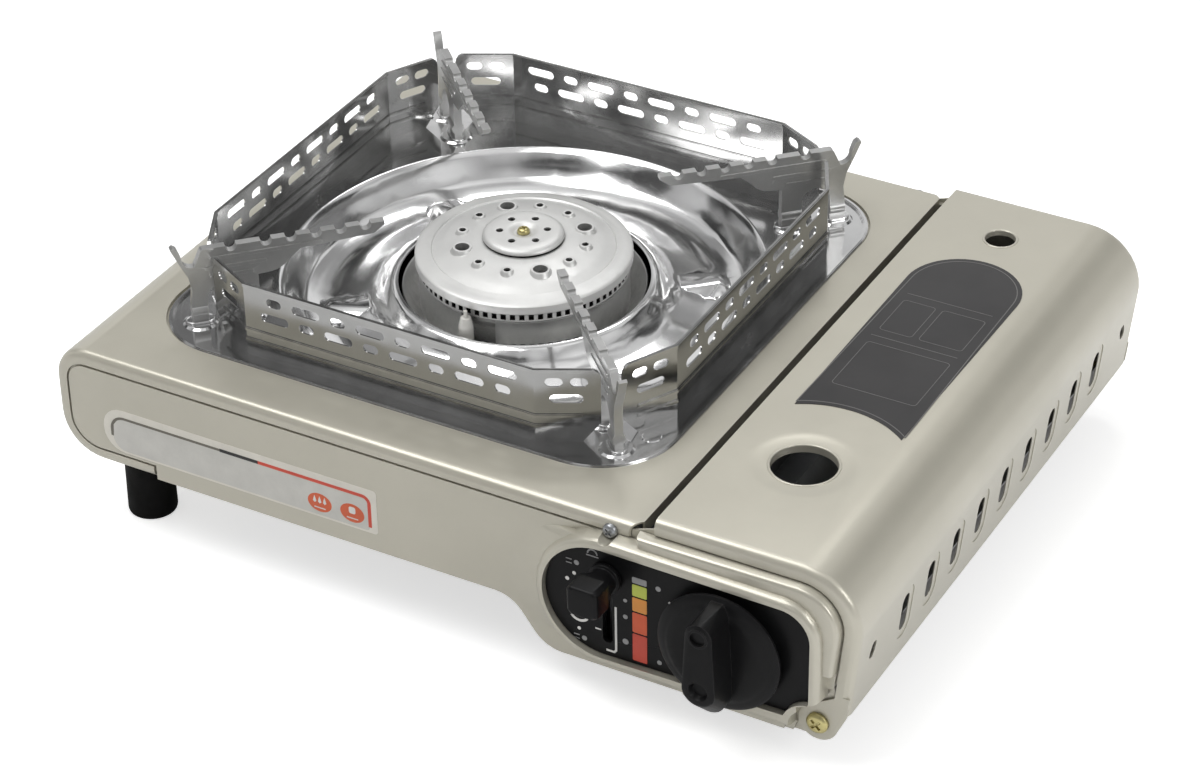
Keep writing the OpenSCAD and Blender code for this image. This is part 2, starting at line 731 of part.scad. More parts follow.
module ear_shape() {
  hull() {
    translate([hinge_x, hinge_z]) circle(ear_r, $fn = 40);
    polygon([lid_foot(0.4, 0), lid_foot(0.4, -9), lid_foot(4, -9),
      lid_foot(4, -4)]);
  }
}

// ---- controls ----

module fascia() {
  color("#202020") in_frame() difference() {
    union() {
      along_y(fascia_y, 2) fascia_shape(0);
      difference() {
        along_y(fascia_y, 1.4 - fascia_y) fascia_shape(0);
        along_y(fascia_y + 1, 10) fascia_shape(-2);
      }
      difference() {
        along_y(1.4, 1) fascia_shape(2.8);
        along_y(0, 10) fascia_shape(-2);
        rod_y(hinge_x, hinge_z, 18.5, 0, 10);
      }
    }
    rod_y(knob_x, knob_z, 8, -20, 40);
    // Slot of the lock lever
    translate([lever_x, 0, lever_z - lever_travel / 2 - 1])
      rotate([90, 0, 0]) linear_extrude(40, center = true)
        slot_shape(lever_travel + stem_h + 4, 4.2, 90);
  }
}

module lever_guide() {
  x0 = lever_x - 5.4;
  z0 = keel_z + 5;
  color("silver") in_frame() difference() {
    union() {
      translate([x0, fascia_y + 6.9, z0]) cube([1.2, 26, cover_h - z0 - 10]);
      translate([lever_x - stem_w / 2 - air - 1.2, fascia_y + 6.9, z0])
        cube([1.2, 26, cover_h - z0 - 10]);
      translate([x0, fascia_y + 31.7, z0])
        cube([4, 1.2, cover_h - z0 - 10]);
    }
  }
}

module control_knob() {
  grip_top = knob_reach - boss_reach;
  y1 = -boss_reach - 0.4;
  low_y = -grip_h / 2 + grip_w / 2 + 8.6;
  high_y = grip_h / 2 - grip_mark_r - 0.4;
  color("#1a1a1a") in_frame() difference() {
    union() {
      translate([knob_x, y1, knob_z]) rotate([90, 0, 0]) {
        rotate_extrude($fn = 96) polygon([[0, 0], [knob_r - 1, 0],
          [knob_r, 0.8], [knob_r, 1.8], [knob_r - 1.4, 2.8],
          [knob_r - 3, 3], [grip_h / 2 - 3, 4], [0, 4.2]]);
        // Grip bar, which slopes to a narrow pointer at the skirt's rim
        hull() {
          translate([0, low_y, 0])
            cylinder(h = grip_top - 1.3, r = grip_w / 2, $fn = 32);
          translate([0, low_y, 0])
            cylinder(h = grip_top - 0.9, r = grip_w / 2 - 0.9, $fn = 32);
          translate([0, high_y, 0])
            cylinder(h = grip_top - 1.3, r = grip_mark_r + 0.8, $fn = 32);
          translate([0, high_y, 0])
            cylinder(h = grip_top - 0.9, r = grip_mark_r - 0.1, $fn = 32);
          translate([0, -grip_h / 2 + grip_w / 2, 2])
            cylinder(h = 7, r = grip_w / 2, $fn = 32);
          translate([-2.4, grip_h / 2 - 2.6, 2]) cube([4.8, 3.8, 2.8]);
        }
        // Raised ring of the round mark
        translate([0, high_y, 0])
          cylinder(h = grip_top - 0.4, r = grip_mark_r - 0.6);
      }
      // Hub behind the skirt
      rod_y(knob_x, knob_z, 21, y1 - 0.2, fascia_y - 0.5 - y1 + 0.2);
      rod_y(knob_x, knob_z, 6.6, fascia_y - 1, 6);
    }
    rod_y(knob_x, knob_z, spindle_r + run_gap, y1 - 8, 30);
    // Hollow of the round mark, and the scoop below it
    rod_y(knob_x, knob_z + high_y, grip_mark_r - 1.6, -knob_reach - 5, 6.2);
    translate([knob_x, -knob_reach - 0.1, knob_z + low_y])
      rotate([-90, 0, 0]) cylinder(h = 2.6, r1 = 4.3, r2 = 3);
  }
}

module valve_spindle() {
  color("goldenrod") in_frame() {
    rod_y(knob_x, knob_z, spindle_r, -boss_reach - 8, boss_reach + 8 + 26);
  }
}

module lever_button() {
  color("#1a1a1a") in_frame() union() {
    hull() {
      translate([lever_x, lever_front, lever_z]) rotate([-90, 0, 0])
        linear_extrude(0.6) offset(delta = 2.6, chamfer = true)
          square([lever_w - 7.2, lever_h - 7.2], center = true);
      translate([lever_x, lever_front + 1.4, lever_z]) rotate([-90, 0, 0])
        linear_extrude(7) offset(delta = 3, chamfer = true)
          square([lever_w - 6, lever_h - 6], center = true);
      rod_y(lever_x, lever_z, lever_h / 2 - 1.4, fascia_y - 5.4, 0.5);
    }
    // Round foot that covers the slot's width
    rod_y(lever_x, lever_z, lever_h / 2 - 1.4, fascia_y - 5.2, 2.6);
    rod_y(lever_x, lever_z, lever_h / 2 - 0.2, fascia_y - 2.7, 2.2);
    translate([lever_x - stem_w / 2, fascia_y - 1, lever_z - stem_h / 2])
      cube([stem_w, 5 + 6 - fascia_y - 4.5, stem_h]);
  }
}

module cam_plate() {
  y0 = 6.5;
  z0 = pin_z - 4;
  z1 = pin_z + lever_travel + 5;
  color("silver") in_frame() difference() {
    translate([lever_x - stem_w / 2, y0, z0])
      cube([stem_w, pin_y + 5 - y0, z1 - z0]);
    // Slanted slot that draws the carriage's pin forwards
    hull() for (k = [0, 1])
      rod_x(pin_y - k * carriage_travel, pin_z + k * lever_travel,
        pin_r + air, lever_x - 5, 10);
  }
}

module cartridge_carriage() {
  x0 = lever_x + stem_w / 2 + air;
  color("lightgray") in_frame() union() {
    // Upright arm beside the cam plate
    translate([x0, pin_y - 4, carriage_z]) cube([1.2, 8, pin_z + 4 - carriage_z]);
    // Cross strip under the partition wall
    translate([x0, pin_y - 4, carriage_z])
      cube([knob_x + 8 - x0, 8, carriage_t]);
    // Long strip under the cradle
    translate([knob_x - 8, pin_y - 4, carriage_z])
      cube([16, pusher_y - pin_y + 5.2, carriage_t]);
    // Pusher behind the cartridge
    difference() {
      along_y(pusher_y, 1.2) hull() {
        translate([knob_x - 12, carriage_z]) square([24, 1]);
        translate([knob_x, carriage_z + 26]) circle(11, $fn = 32);
      }
      rod_y(knob_x, carriage_z + 26, 5, pusher_y - 2, 5);
    }
  }
}

module carriage_pin() {
  x0 = lever_x - stem_w / 2 - 0.1;
  color("silver") in_frame()
    rod_x(pin_y, pin_z, pin_r, x0, stem_w + air + 0.1);
}

// ---- gas parts ----

module regulator_body() {
  y0 = 8;
  color("lightgray") in_frame() difference() {
    union() {
      translate([knob_x, bulk_y, knob_z]) rotate([90, 0, 0]) {
        rotate_extrude() polygon([[0, 0], [17, 0], [17, 21], [13, 21],
          [13, 28], [8.5, 30], [8, bulk_y - y0], [0, bulk_y - y0]]);
      }
      rod_x(outlet_y, outlet_z, 6.5, wall_x - 3, knob_x - wall_x - 3);
      // Diaphragm housing on the far side
      rod_x(outlet_y - 6, knob_z, 9, knob_x + 5, 17);
      translate([knob_x - 23, bulk_y - 2.5, knob_z - 6]) cube([46, 2.5, 12]);
    }
    rod_y(knob_x, knob_z, spindle_r + run_gap, 0, 27);
    rod_y(knob_x, knob_z, 4.2, bulk_y - 9, 12);
  }
}

module regulator_collar() {
  color("goldenrod") in_frame() difference() {
    rod_y(knob_x, knob_z, 12.6, bulk_y, 7);
    rod_y(knob_x, knob_z, 10.4, bulk_y + 1.2, 10);
    rod_y(knob_x, knob_z, 6, bulk_y - 2, 10);
    // Key that the cartridge's notch lines up with
    translate([knob_x - 2.5, bulk_y + 1.2, knob_z]) cube([5, 10, 20]);
  }
}

module gas_nozzle() {
  color("goldenrod") in_frame()
    translate([outlet_x, outlet_y, outlet_z]) difference() {
      union() {
        sphere(6.5, $fn = 32);
        rotate([0, 90, tube_ang])
          cylinder(h = 12, r = 3.2);
      }
      rotate([0, 90, tube_ang]) cylinder(h = 20, r = 0.8);
      translate([-0.01, -10, -10]) cube([20, 20, 20]);
    }
}

module mixing_tube() {
  s0 = 10;
  s1 = tube_run - 30;
  color("lightgray") in_frame()
    translate([outlet_x, outlet_y, outlet_z]) rotate([0, 90, tube_ang])
      rotate_extrude() polygon([[tube_r + 1.6, s0], [tube_r + 2.6, s0],
        [tube_r, s0 + 12], [tube_r - 1.6, s0 + 20], [tube_r, s0 + 34],
        [tube_r, s1], [tube_r - 1, s1], [tube_r - 1, s0 + 34],
        [tube_r - 2.6, s0 + 20], [tube_r - 1, s0 + 12]]);
}

module piezo_unit() {
  z0 = outlet_z - 17;
  color("#303030") in_frame() union() {
    translate([piezo_x - 8.5, 2.5, z0]) cube([17, 35.5, 15]);
    rod_y(piezo_x, z0 + 5, 4.4, 37, 11);
    rod_y(piezo_x, z0 + 5, 2.6, 47, 6);
  }
}

// Route of the ignition wire, from the piezo unit to the electrode
lead_path = [[piezo_x, 53, outlet_z - 12], [piezo_x - 1, 61, outlet_z - 13],
  [piezo_x - 7, 72, outlet_z - 14], [piezo_x - 17, 82, outlet_z - 15],
  [192, 89, outlet_z - 16], [176, 89, outlet_z - 16],
  [160, 84, outlet_z - 14], [pan_x + 10, 81, outlet_z - 12],
  [pan_x + 2, 84, outlet_z - 7], [pan_x, pan_y - electrode_r, outlet_z - 2],
  [pan_x, pan_y - electrode_r, outlet_z + 3]];

function spline(p, i, t) =
  let (a = p[max(i - 1, 0)], b = p[i], c = p[i + 1],
       d = p[min(i + 2, len(p) - 1)])
  0.5 * (2 * b + (c - a) * t + (2 * a - 5 * b + 4 * c - d) * t * t
    + (3 * b - a - 3 * c + d) * t * t * t);

function unit(v) = v / norm(v);

// Carries one side vector along the route without twist.
function sides_along(q, i, u) =
  i >= len(q) ? [] :
  let (t = unit(q[min(i + 1, len(q) - 1)] - q[max(i - 1, 0)]),
       w = unit(u - (u * t) * t))
  concat([[w, cross(t, w)]], sides_along(q, i + 1, w));

module swept(path, r, sides, cuts) {
  q = concat([for (i = [0:len(path) - 2]) for (k = [0:cuts - 1])
    spline(path, i, k / cuts)], [path[len(path) - 1]]);
  f = sides_along(q, 0, [0, 0, 1]);
  pts = [for (i = [0:len(q) - 1]) for (j = [0:sides - 1])
    q[i] + r * cos(360 * j / sides) * f[i][0]
      + r * sin(360 * j / sides) * f[i][1]];
  faces = [for (i = [0:len(q) - 2]) for (j = [0:sides - 1])
    let (k = (j + 1) % sides)
    [i * sides + j, (i + 1) * sides + j, (i + 1) * sides + k, i * sides + k]];
  polyhedron(points = pts, faces = concat(
    [[for (j = [0:sides - 1]) j]], faces,
    [[for (j = [sides - 1:-1:0]) (len(q) - 1) * sides + j]]));
}

module igniter_lead() {
  color("whitesmoke") in_frame() swept(lead_path, lead_r, 8, 3);
}

module electrode() {
  z0 = outlet_z + 3;
  color("white") in_frame() at_burner()
    translate([0, -electrode_r, 0]) union() {
      translate([0, 0, z0]) rotate_extrude() polygon([[0, 0], [2.4, 0],
        [2.4, 6], [3.1, 7], [3.1, rim_z - z0 - 1], [2.4, rim_z - z0 + 2],
        [2, rim_z - z0 + 3.4], [0, rim_z - z0 + 3.4]]);
      translate([0, 0, rim_z]) cylinder(h = 6.4, r = 0.8);
    }
}

module electrode_bracket() {
  color("silver") in_frame() at_burner() difference() {
    union() {
      translate([-6, -electrode_r - 5, bowl_low + 10]) cube([12, 13, 1]);
      translate([-6, -electrode_r + 7, bowl_low + 2]) cube([12, 1, 9]);
    }
    translate([0, -electrode_r, bowl_low])
      cylinder(h = 30, r = 3.1 + run_gap);
  }
}

// ---- burner ----

module burner_body() {
  r_out = cap_r - 5.6;
  color("silver") in_frame() at_burner() difference() {
    union() {
      rotate_extrude($fn = 96) polygon([[0, bowl_low], [26, bowl_low],
        [r_out, bowl_low + 9], [r_out, bowl_top - 6],
        [r_out + 3, bowl_top - 2], [r_out + 3, bowl_top],
        [r_out - 1, bowl_top], [r_out - 3, bowl_top - 8],
        [r_out - 3, bowl_low + 11], [24, bowl_low + 3], [0, bowl_low + 3]]);
      // Socket of the mixing tube
      rotate([0, 0, tube_ang + 180]) translate([26, 0, outlet_z])
        rotate([0, 90, 0]) cylinder(h = 19, r = tube_r + 2.4);
      // Three posts down to the tray
      for (a = [30, 150, 270])
        rotate([0, 0, a]) translate([20, 0, deck_z + shell_t])
          cylinder(h = bowl_low - deck_z, r = 4);
    }
    rotate([0, 0, tube_ang + 180]) translate([20, 0, outlet_z])
      rotate([0, 90, 0]) cylinder(h = 40, r = tube_r + 0.02);
    translate([0, 0, bowl_top - 12]) cylinder(h = 20, r = 1.6);
  }
}

module burner_skirt() {
  top = bowl_top - 0.1;
  low = rim_z - 18;
  out = pan_hole_r - 1.2;
  color("lightgray") in_frame() at_burner() difference() {
    union() {
      rotate_extrude($fn = 96) translate([skirt_r - 0.8, low])
        square([0.8, top - low]);
      // Lip that grips the bowl
      rotate_extrude($fn = 96) translate([cap_r - 2.5, top - 1])
        square([skirt_r - cap_r + 2.1, 1]);
      // Sloping collar that catches spills, up to the pan's hole
      rotate_extrude($fn = 96) polygon([[skirt_r - 0.4, low + 3],
        [out - 0.3, low + 11.7], [out, low + 12.4], [out - 0.5, low + 12.9],
        [out - 1.1, low + 12.5], [skirt_r - 0.4, low + 4.2]]);
    }
    translate([0, -electrode_r, rim_z - 30]) cylinder(h = 60, r = 3.4);
    // Window behind the electrode
    translate([-4.4, -skirt_r - 1, low + 5]) cube([15, 5, 30]);
  }
}

module port_ring() {
  outer = cap_r - 1.6;
  teeth = [for (i = [0:port_n - 1]) for (k = [0:3])
    let (a = 360 * (i + [0, 0.44, 0.48, 0.96][k]) / port_n,
         r = [outer, outer, outer - 2.2, outer - 2.2][k])
    [r * cos(a), r * sin(a)]];
  color("gainsboro") in_frame() at_burner() difference() {
    union() {
      translate([0, 0, bowl_top + 0.6])
        linear_extrude(ring_top - bowl_top - 0.6) polygon(teeth);
      translate([0, 0, bowl_top])
        cylinder(h = 0.8, r = outer + 0.2, $fn = 96);
    }
    translate([0, 0, bowl_top - 1]) cylinder(h = 30, r = outer - 4, $fn = 96);
  }
}

// Radius of the cap's hole number k: every third one is large.
function cap_hole_r(k) = k % 3 == 1 ? 3 : 1.4;

module burner_cap() {
  z0 = ring_top;
  z1 = rim_z + cap_rise;
  z2 = z1 + cap_crown - 2;
  color("gainsboro") in_frame() at_burner() difference() {
    union() {
      // Hollow cap on a post that stands on the bowl
      rotate_extrude($fn = 96) polygon([[0, bowl_low + 3],
        [5, bowl_low + 3], [5, z2 - 2.2], [disc_r + 3, z2 - 2.2],
        [31, z1 + 0.4], [cap_r - 8.2, z1 - 1.6], [cap_r - 8.2, z0 - 2],
        [cap_r - 6, z0 - 2], [cap_r - 6, z0], [cap_r - 0.6, z0],
        [cap_r, z0 + 0.6], [cap_r, z1 - 0.8], [cap_r - 0.8, z1],
        [cap_r - 3.6, z1 + 0.4], [cap_r - 6.6, z1 + 1.2],
        [cap_r - 7.2, z1 + 0.7], [32, z1 + 2.6], [disc_r + 3, z2], [0, z2]]);
      // Raised rims of the holes
      for (k = [0:11]) rotate([0, 0, 15 + 30 * k])
        translate([cap_hole_ring, 0, z2 - 2.4])
          cylinder(h = 2.3, r1 = cap_hole_r(k) + 2, r2 = cap_hole_r(k) + 0.8,
                   $fn = 32);
    }
    for (k = [0:11]) rotate([0, 0, 15 + 30 * k])
      translate([cap_hole_ring, 0, z1 - 1.5])
        cylinder(h = 10, r = cap_hole_r(k), $fn = 24);
    for (k = [0:5]) rotate([0, 0, 30 + 60 * k])
      translate([disc_hole_ring, 0, z2 - 4]) cylinder(h = 8, r = 2.2, $fn = 24);
    translate([0, 0, z2 - 6]) cylinder(h = 20, r = 1.6 + run_gap);
  }
}

module cap_disc() {
  z0 = rim_z + cap_rise + cap_crown - 2;
  color("gainsboro") in_frame() at_burner() difference() {
    rotate_extrude($fn = 64) polygon([[0, z0], [disc_r - 1.2, z0],
      [disc_r - 0.6, z0 + 0.5], [disc_r, z0 + 0.9], [disc_r - 0.1, z0 + 1.6],
      [disc_r - 0.8, z0 + 2.4], [disc_r - 2.2, z0 + 3], [disc_r - 4.4, z0 + 3.3],
      [6.6, z0 + 3.4], [5.4, z0 + 3], [3.6, z0 + 2], [0, z0 + 2]]);
    for (k = [0:5]) rotate([0, 0, 30 + 60 * k])
      translate([disc_hole_ring, 0, z0 - 1]) cylinder(h = 8, r = 1.5, $fn = 24);
    translate([0, 0, z0 - 1]) cylinder(h = 5, r = 1.6 + run_gap);
  }
}

module cap_screw() {
  z0 = rim_z + cap_rise + cap_crown;
  color("goldenrod") in_frame() at_burner()
    translate([0, 0, z0]) rotate([-90, 0, 0]) pan_screw(1.6, 2.6, 7);
}

// ---- pan set ----

// Flat ring that follows the pan's edge, from inset a to inset b.
module edge_ring(a, b, z, h) {
  half = pan_half - pan_gap;
  corner = pan_corner - pan_gap;
  translate([0, 0, z]) linear_extrude(h) difference() {
    square_ring(half - a, corner - a);
    square_ring(half - b, corner - b);
  }
}

module drip_pan() {
  low = rim_z - bowl_depth;
  lip = rim_z - lip_drop;
  t = pan_t;
  bowl = [[bowl_r + 0.6, rim_z - 0.03], [bowl_r - 1, rim_z - 0.3],
    [bowl_r - 3, rim_z - 2], [bowl_r - 9, low + 4.4],
    [bowl_r - 11.5, low + 2.6], [bowl_r - 16, low + 0.8],
    [bowl_r - 22, low], [bowl_r - 27, low + 0.8],
    [pan_hole_r + 9, low + 4], [pan_hole_r + 3.4, lip - 0.9],
    [pan_hole_r + 1.6, lip], [pan_hole_r, lip]];
  color("lightsteelblue") in_frame() at_burner() union() {
    // Rolled rim
    edge_ring(0, 2.4, rim_z - t, t + 0.3);
    edge_ring(0.3, 2, rim_z + 0.2, 0.6);
    edge_ring(0.7, 1.6, rim_z + 0.7, 0.4);
    translate([0, 0, rim_z - t]) linear_extrude(t) difference() {
      square_ring(pan_half - pan_gap - 1, pan_corner - pan_gap - 1);
      circle(bowl_r - 0.2, $fn = 96);
    }
    // Round bowl that rises again to the burner
    rotate_extrude($fn = 96)
      polygon(concat(bowl, reversed(beside(bowl, -t))));
    // Bosses under the supports' legs
    for (k = [0:3]) rotate([0, 0, 45 + 90 * k])
      for (r = [(leg_a + leg_b) / 2, (leg_c + leg_d) / 2])
        translate([r, 0, rim_z - 0.3])
          cylinder(h = boss_z - rim_z + 0.3, r1 = 7.5, r2 = 6.2, $fn = 32);
    // Pads pressed up in the bowl, along the diagonals
    for (a = [35, 145, 215, 325]) rotate([0, 0, a]) hull() {
      translate([bowl_r - 27.5, 0, low + 0.1]) linear_extrude(0.1)
        slot_shape(27, 19, 0);
      translate([bowl_r - 28.5, 0, low + pad_h - 0.3]) linear_extrude(0.3)
        square([15.5, 9], center = true);
    }
    // Small round mark pressed into the flat
    translate([103, -82, rim_z - 0.3])
      cylinder(h = 0.7, r1 = 4.2, r2 = 3.6, $fn = 32);
  }
}

module leg_collars() {
  color("silver") in_frame() at_burner()
    for (k = [0:3]) rotate([0, 0, 45 + 90 * k]) {
      translate([(leg_a + leg_b) / 2, 0, boss_z]) collar(leg_b - leg_a);
      translate([(leg_c + leg_d) / 2, 0, boss_z]) collar(leg_d - leg_c);
    }
}

// Clinched collar round the foot of a leg
module collar(w) {
  difference() {
    linear_extrude(1) slot_shape(w + 5, support_t + 3, 0);
    translate([-w / 2, -support_t / 2, -1]) cube([w, support_t, 4]);
  }
}

// Plan of a windscreen: its centre line, then a band of thickness w round it.
function screen_line(cut) = [
  [-screen_half - (screen_end - cut) * cos(screen_bend),
   screen_off - (screen_end - cut) * sin(screen_bend)],
  [-screen_half, screen_off], [screen_half, screen_off],
  [screen_half + (screen_end - cut) * cos(screen_bend),
   screen_off - (screen_end - cut) * sin(screen_bend)]];

module screen_band(w, cut, z, h) {
  mid = screen_line(cut);
  translate([0, 0, rim_z + z]) linear_extrude(h)
    polygon(concat(beside(mid, w / 2), reversed(beside(mid, -w / 2))));
}

// Cuts a drawing (along the sheet, up) through one bent end.
module through_end(side) {
  mirror([side, 0, 0]) translate([screen_half, screen_off, rim_z])
    rotate([0, 0, -screen_bend]) rotate([90, 0, 0])
      linear_extrude(8, center = true) children();
}

// One windscreen, standing at +Y from the burner's axis.
module windscreen() {
  row_a = screen_h - 6;
  row_b = screen_h - 13.4;
  pitch = (slot_long + slot_short) / 2 + slot_bridge;
  start = -(slot_count - 1) / 2 * pitch;
  difference() {
    union() {
      screen_band(screen_t, 0, 0, screen_h);
      // Rolled top edge and two pressed ribs
      screen_band(screen_t + 0.9, 0, screen_h - 1.5, 1.3);
      for (z = [screen_h - 21.8, screen_h - 26.4]) {
        screen_band(screen_t + 0.7, 7, z, 1.6);
        screen_band(screen_t + 1.1, 7.4, z + 0.4, 0.8);
      }
    }
    translate([0, screen_off, rim_z]) rotate([90, 0, 0])
      linear_extrude(8, center = true)
        for (i = [0:slot_count - 1]) {
          translate([start + i * pitch, row_a])
            slot_shape(i % 2 == 0 ? slot_long : slot_short, slot_tall, 0);
          translate([start + i * pitch, row_b])
            slot_shape(i % 2 == 1 ? slot_long : slot_short, slot_tall, 0);
        }
    for (side = [0, 1]) {
      through_end(side) {
        translate([7.4, row_a]) slot_shape(slot_short, slot_tall, 0);
        translate([17, row_a]) slot_shape(slot_short, slot_tall, 0);
        translate([12.2, row_b]) slot_shape(slot_long, slot_tall, 0);
      }
      // Chamfered lower corner and rounded upper corner
      through_end(side) polygon([[screen_end - 8, -1], [screen_end + 3, -1],
        [screen_end + 3, 12.4]]);
      through_end(side) polygon(concat(
        arc(screen_end - 4, screen_h - 4, 4, 0, 90, 4),
        [[screen_end - 4, screen_h + 3], [screen_end + 3, screen_h + 3],
         [screen_end + 3, screen_h - 4]]));
    }
  }
}

module windscreen_back() {
  color("lightgray") in_frame() at_burner() windscreen();
}

module windscreen_left() {
  color("lightgray") in_frame() at_burner() rotate([0, 0, 90]) windscreen();
}

module windscreen_front() {
  color("lightgray") in_frame() at_burner() rotate([0, 0, 180]) windscreen();
}

module windscreen_right() {
  color("lightgray") in_frame() at_burner() rotate([0, 0, 270]) windscreen();
}

// Outline of a pot support: distance from the axis, height above the pan.
function support_pts() =
  let (h = support_h, f = boss_z - rim_z)
  concat([[support_tip_r, h], [support_tip_r, h - 1.4],
    [support_tip_r + 4.5, h - 4.8], [92, h - 6.2]],
    arc(105.5, h - 4.2, 10.6, 215, 262, 4),
    [[leg_a, h - 15.2], [leg_a, f], [leg_b, f], [leg_b, h - 23]],
    arc((leg_b + leg_c) / 2, h - 23, (leg_c - leg_b) / 2, 165, 15, 6),
    [[leg_c, h - 23], [leg_c, f], [leg_d, f], [leg_d, h - 25],
     [leg_d - 0.7, h - 18], [leg_d + 0.4, h - 12], [leg_d + 3.3, h - 6],
     [leg_d + 6.7, h + horn_h - 0.8], [leg_d + 5.6, h + horn_h],
     [leg_d + 4, h + horn_h - 1.2]],
    arc(leg_d - 1.6, h - 3.4, 4.2, 8, -98, 5),
    arc(leg_d - 6.6, h - 1.6, 1.6, 20, 90, 3));

module pot_support() {
  h = support_h;
  translate([0, 0, rim_z]) rotate([90, 0, 0]) {
    linear_extrude(support_t, center = true) difference() {
      polygon(support_pts());
      for (i = [0:notch_n - 1])
        translate([notch_first_r + i * notch_pitch
          + (i == notch_n - 1 ? 4.2 : 0), h - 0.3])
          circle(notch_r, $fn = 28);
    }
    linear_extrude(support_t + 2 * rib_h, center = true) {
      translate([106, h - 4.6]) slot_shape(46, 1.5, 0);
      translate([118.5, h - 9]) slot_shape(25, 1.5, 0);
      translate([120.5, h - 13]) slot_shape(18, 1.5, 0);
    }
    // Half-round beads at the foot of both legs
    translate([(leg_a + leg_b) / 2, 6, 0]) rotate([0, 90, 0])
      cylinder(h = leg_b - leg_a, r = support_t / 2 + 1, center = true);
    translate([(leg_c + leg_d) / 2, 6, 0]) rotate([0, 90, 0])
      cylinder(h = leg_d - leg_c, r = support_t / 2 + 1, center = true);
  }
}

module support_back_right() {
  color("gray") in_frame() at_burner() rotate([0, 0, 45]) pot_support();
}

module support_back_left() {
  color("gray") in_frame() at_burner() rotate([0, 0, 135]) pot_support();
}

module support_front_left() {
  color("gray") in_frame() at_burner() rotate([0, 0, 225]) pot_support();
}

module support_front_right() {
  color("gray") in_frame() at_burner() rotate([0, 0, 315]) pot_support();
}

base_tray();
top_cover();
front_panel();
back_panel();
partition_wall();
bay_bulkhead();
bay_cradle();
left_feet();
right_feet();
cover_screws();
hinge_screws();
fascia();
lever_guide();
regulator_body();
regulator_collar();
gas_nozzle();
mixing_tube();
piezo_unit();
igniter_lead();
electrode();
electrode_bracket();
burner_body();
burner_skirt();
port_ring();
burner_cap();
cap_disc();
cap_screw();
cartridge_lid();
control_knob();
valve_spindle();
lever_button();
cam_plate();
cartridge_carriage();
carriage_pin();
drip_pan();
leg_collars();
windscreen_left();
windscreen_right();
windscreen_front();
windscreen_back();
support_front_left();
support_front_right();
support_back_left();
support_back_right();
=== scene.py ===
"""Looks of the cassette stove: painted shell, chrome drip pan, slotted windscreens, burner and controls."""

import json
import math

import bmesh
import bpy
from mathutils import Matrix, Vector
from mathutils.bvhtree import BVHTree


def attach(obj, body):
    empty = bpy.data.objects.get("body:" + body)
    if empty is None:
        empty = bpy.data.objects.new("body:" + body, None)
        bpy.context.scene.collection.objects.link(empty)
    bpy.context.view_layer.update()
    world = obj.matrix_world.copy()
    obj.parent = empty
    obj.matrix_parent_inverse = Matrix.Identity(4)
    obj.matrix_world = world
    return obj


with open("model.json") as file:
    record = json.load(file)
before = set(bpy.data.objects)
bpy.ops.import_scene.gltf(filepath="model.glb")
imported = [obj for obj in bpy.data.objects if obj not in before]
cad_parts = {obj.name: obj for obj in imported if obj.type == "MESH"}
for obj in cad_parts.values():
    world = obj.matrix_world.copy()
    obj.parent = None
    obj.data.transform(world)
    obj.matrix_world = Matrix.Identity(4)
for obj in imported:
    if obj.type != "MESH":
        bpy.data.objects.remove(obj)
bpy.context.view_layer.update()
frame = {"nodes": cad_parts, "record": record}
NODES = frame["nodes"]

# All places on the stove are in millimetres: x from its left side, y from its front panel, z from the table.
SHELL_WIDTH = 355.0
MIDDLE_Y = 123.15  # the frame's middle, seen from the front panel


def at(x, y, z):
    """A place on the stove, as a point of the shared frame in metres."""
    return Vector(((x - SHELL_WIDTH / 2) / 1000, (y - MIDDLE_Y) / 1000, z / 1000))


# ---------------------------------------------------------------- node trees

class Tree:
    """Writes a shader node tree."""

    def __init__(self, nodes, links):
        self.nodes, self.links = nodes, links

    def put(self, value, socket):
        if isinstance(value, bpy.types.NodeSocket):
            self.links.new(value, socket)
        elif value is not None:
            socket.default_value = value

    def add(self, kind, inputs=None, **settings):
        node = self.nodes.new(kind)
        for name, value in settings.items():
            setattr(node, name, value)
        for name, value in (inputs or {}).items():
            self.put(value, node.inputs[name])
        return node

    def math(self, operation, a, b=0.0, clamp=False):
        node = self.add("ShaderNodeMath", operation=operation, use_clamp=clamp)
        self.put(a, node.inputs[0])
        self.put(b, node.inputs[1])
        return node.outputs[0]

    def mix(self, factor, a, b):
        node = self.add("ShaderNodeMix", data_type="RGBA")
        self.put(factor, node.inputs[0])
        self.put(a, node.inputs[6])
        self.put(b, node.inputs[7])
        return node.outputs[2]

    def span(self, value, low, high, to_low=0.0, to_high=1.0):
        node = self.add("ShaderNodeMapRange", clamp=True)
        for i, v in enumerate((value, low, high, to_low, to_high)):
            self.put(v, node.inputs[i])
        return node.outputs[0]

    def noise(self, place, scale, detail=3.0, rough=0.55):
        settings = {"Vector": place, "Scale": scale, "Detail": detail, "Roughness": rough}
        return self.add("ShaderNodeTexNoise", settings).outputs[0]

    def place(self, stretch=(1, 1, 1)):
        """Millimetres of the part's own frame, stretched along an axis where a finish has a direction."""
        coords = self.add("ShaderNodeTexCoord").outputs["Object"]
        return self.add("ShaderNodeMapping", {"Vector": coords, "Scale": [1000 * s for s in stretch]}).outputs[0]


def group(name, inputs, outputs):
    """An empty shader group with named sockets: its tree, its inputs and its output node."""
    made = bpy.data.node_groups.new(name, "ShaderNodeTree")
    for label, kind, default in inputs:
        socket = made.interface.new_socket(label, in_out="INPUT", socket_type="NodeSocket" + kind)
        socket.default_value = default
    for label, kind in outputs:
        made.interface.new_socket(label, in_out="OUTPUT", socket_type="NodeSocket" + kind)
    tree = Tree(made.nodes, made.links)
    return made, tree, tree.add("NodeGroupInput").outputs, tree.add("NodeGroupOutput").inputs


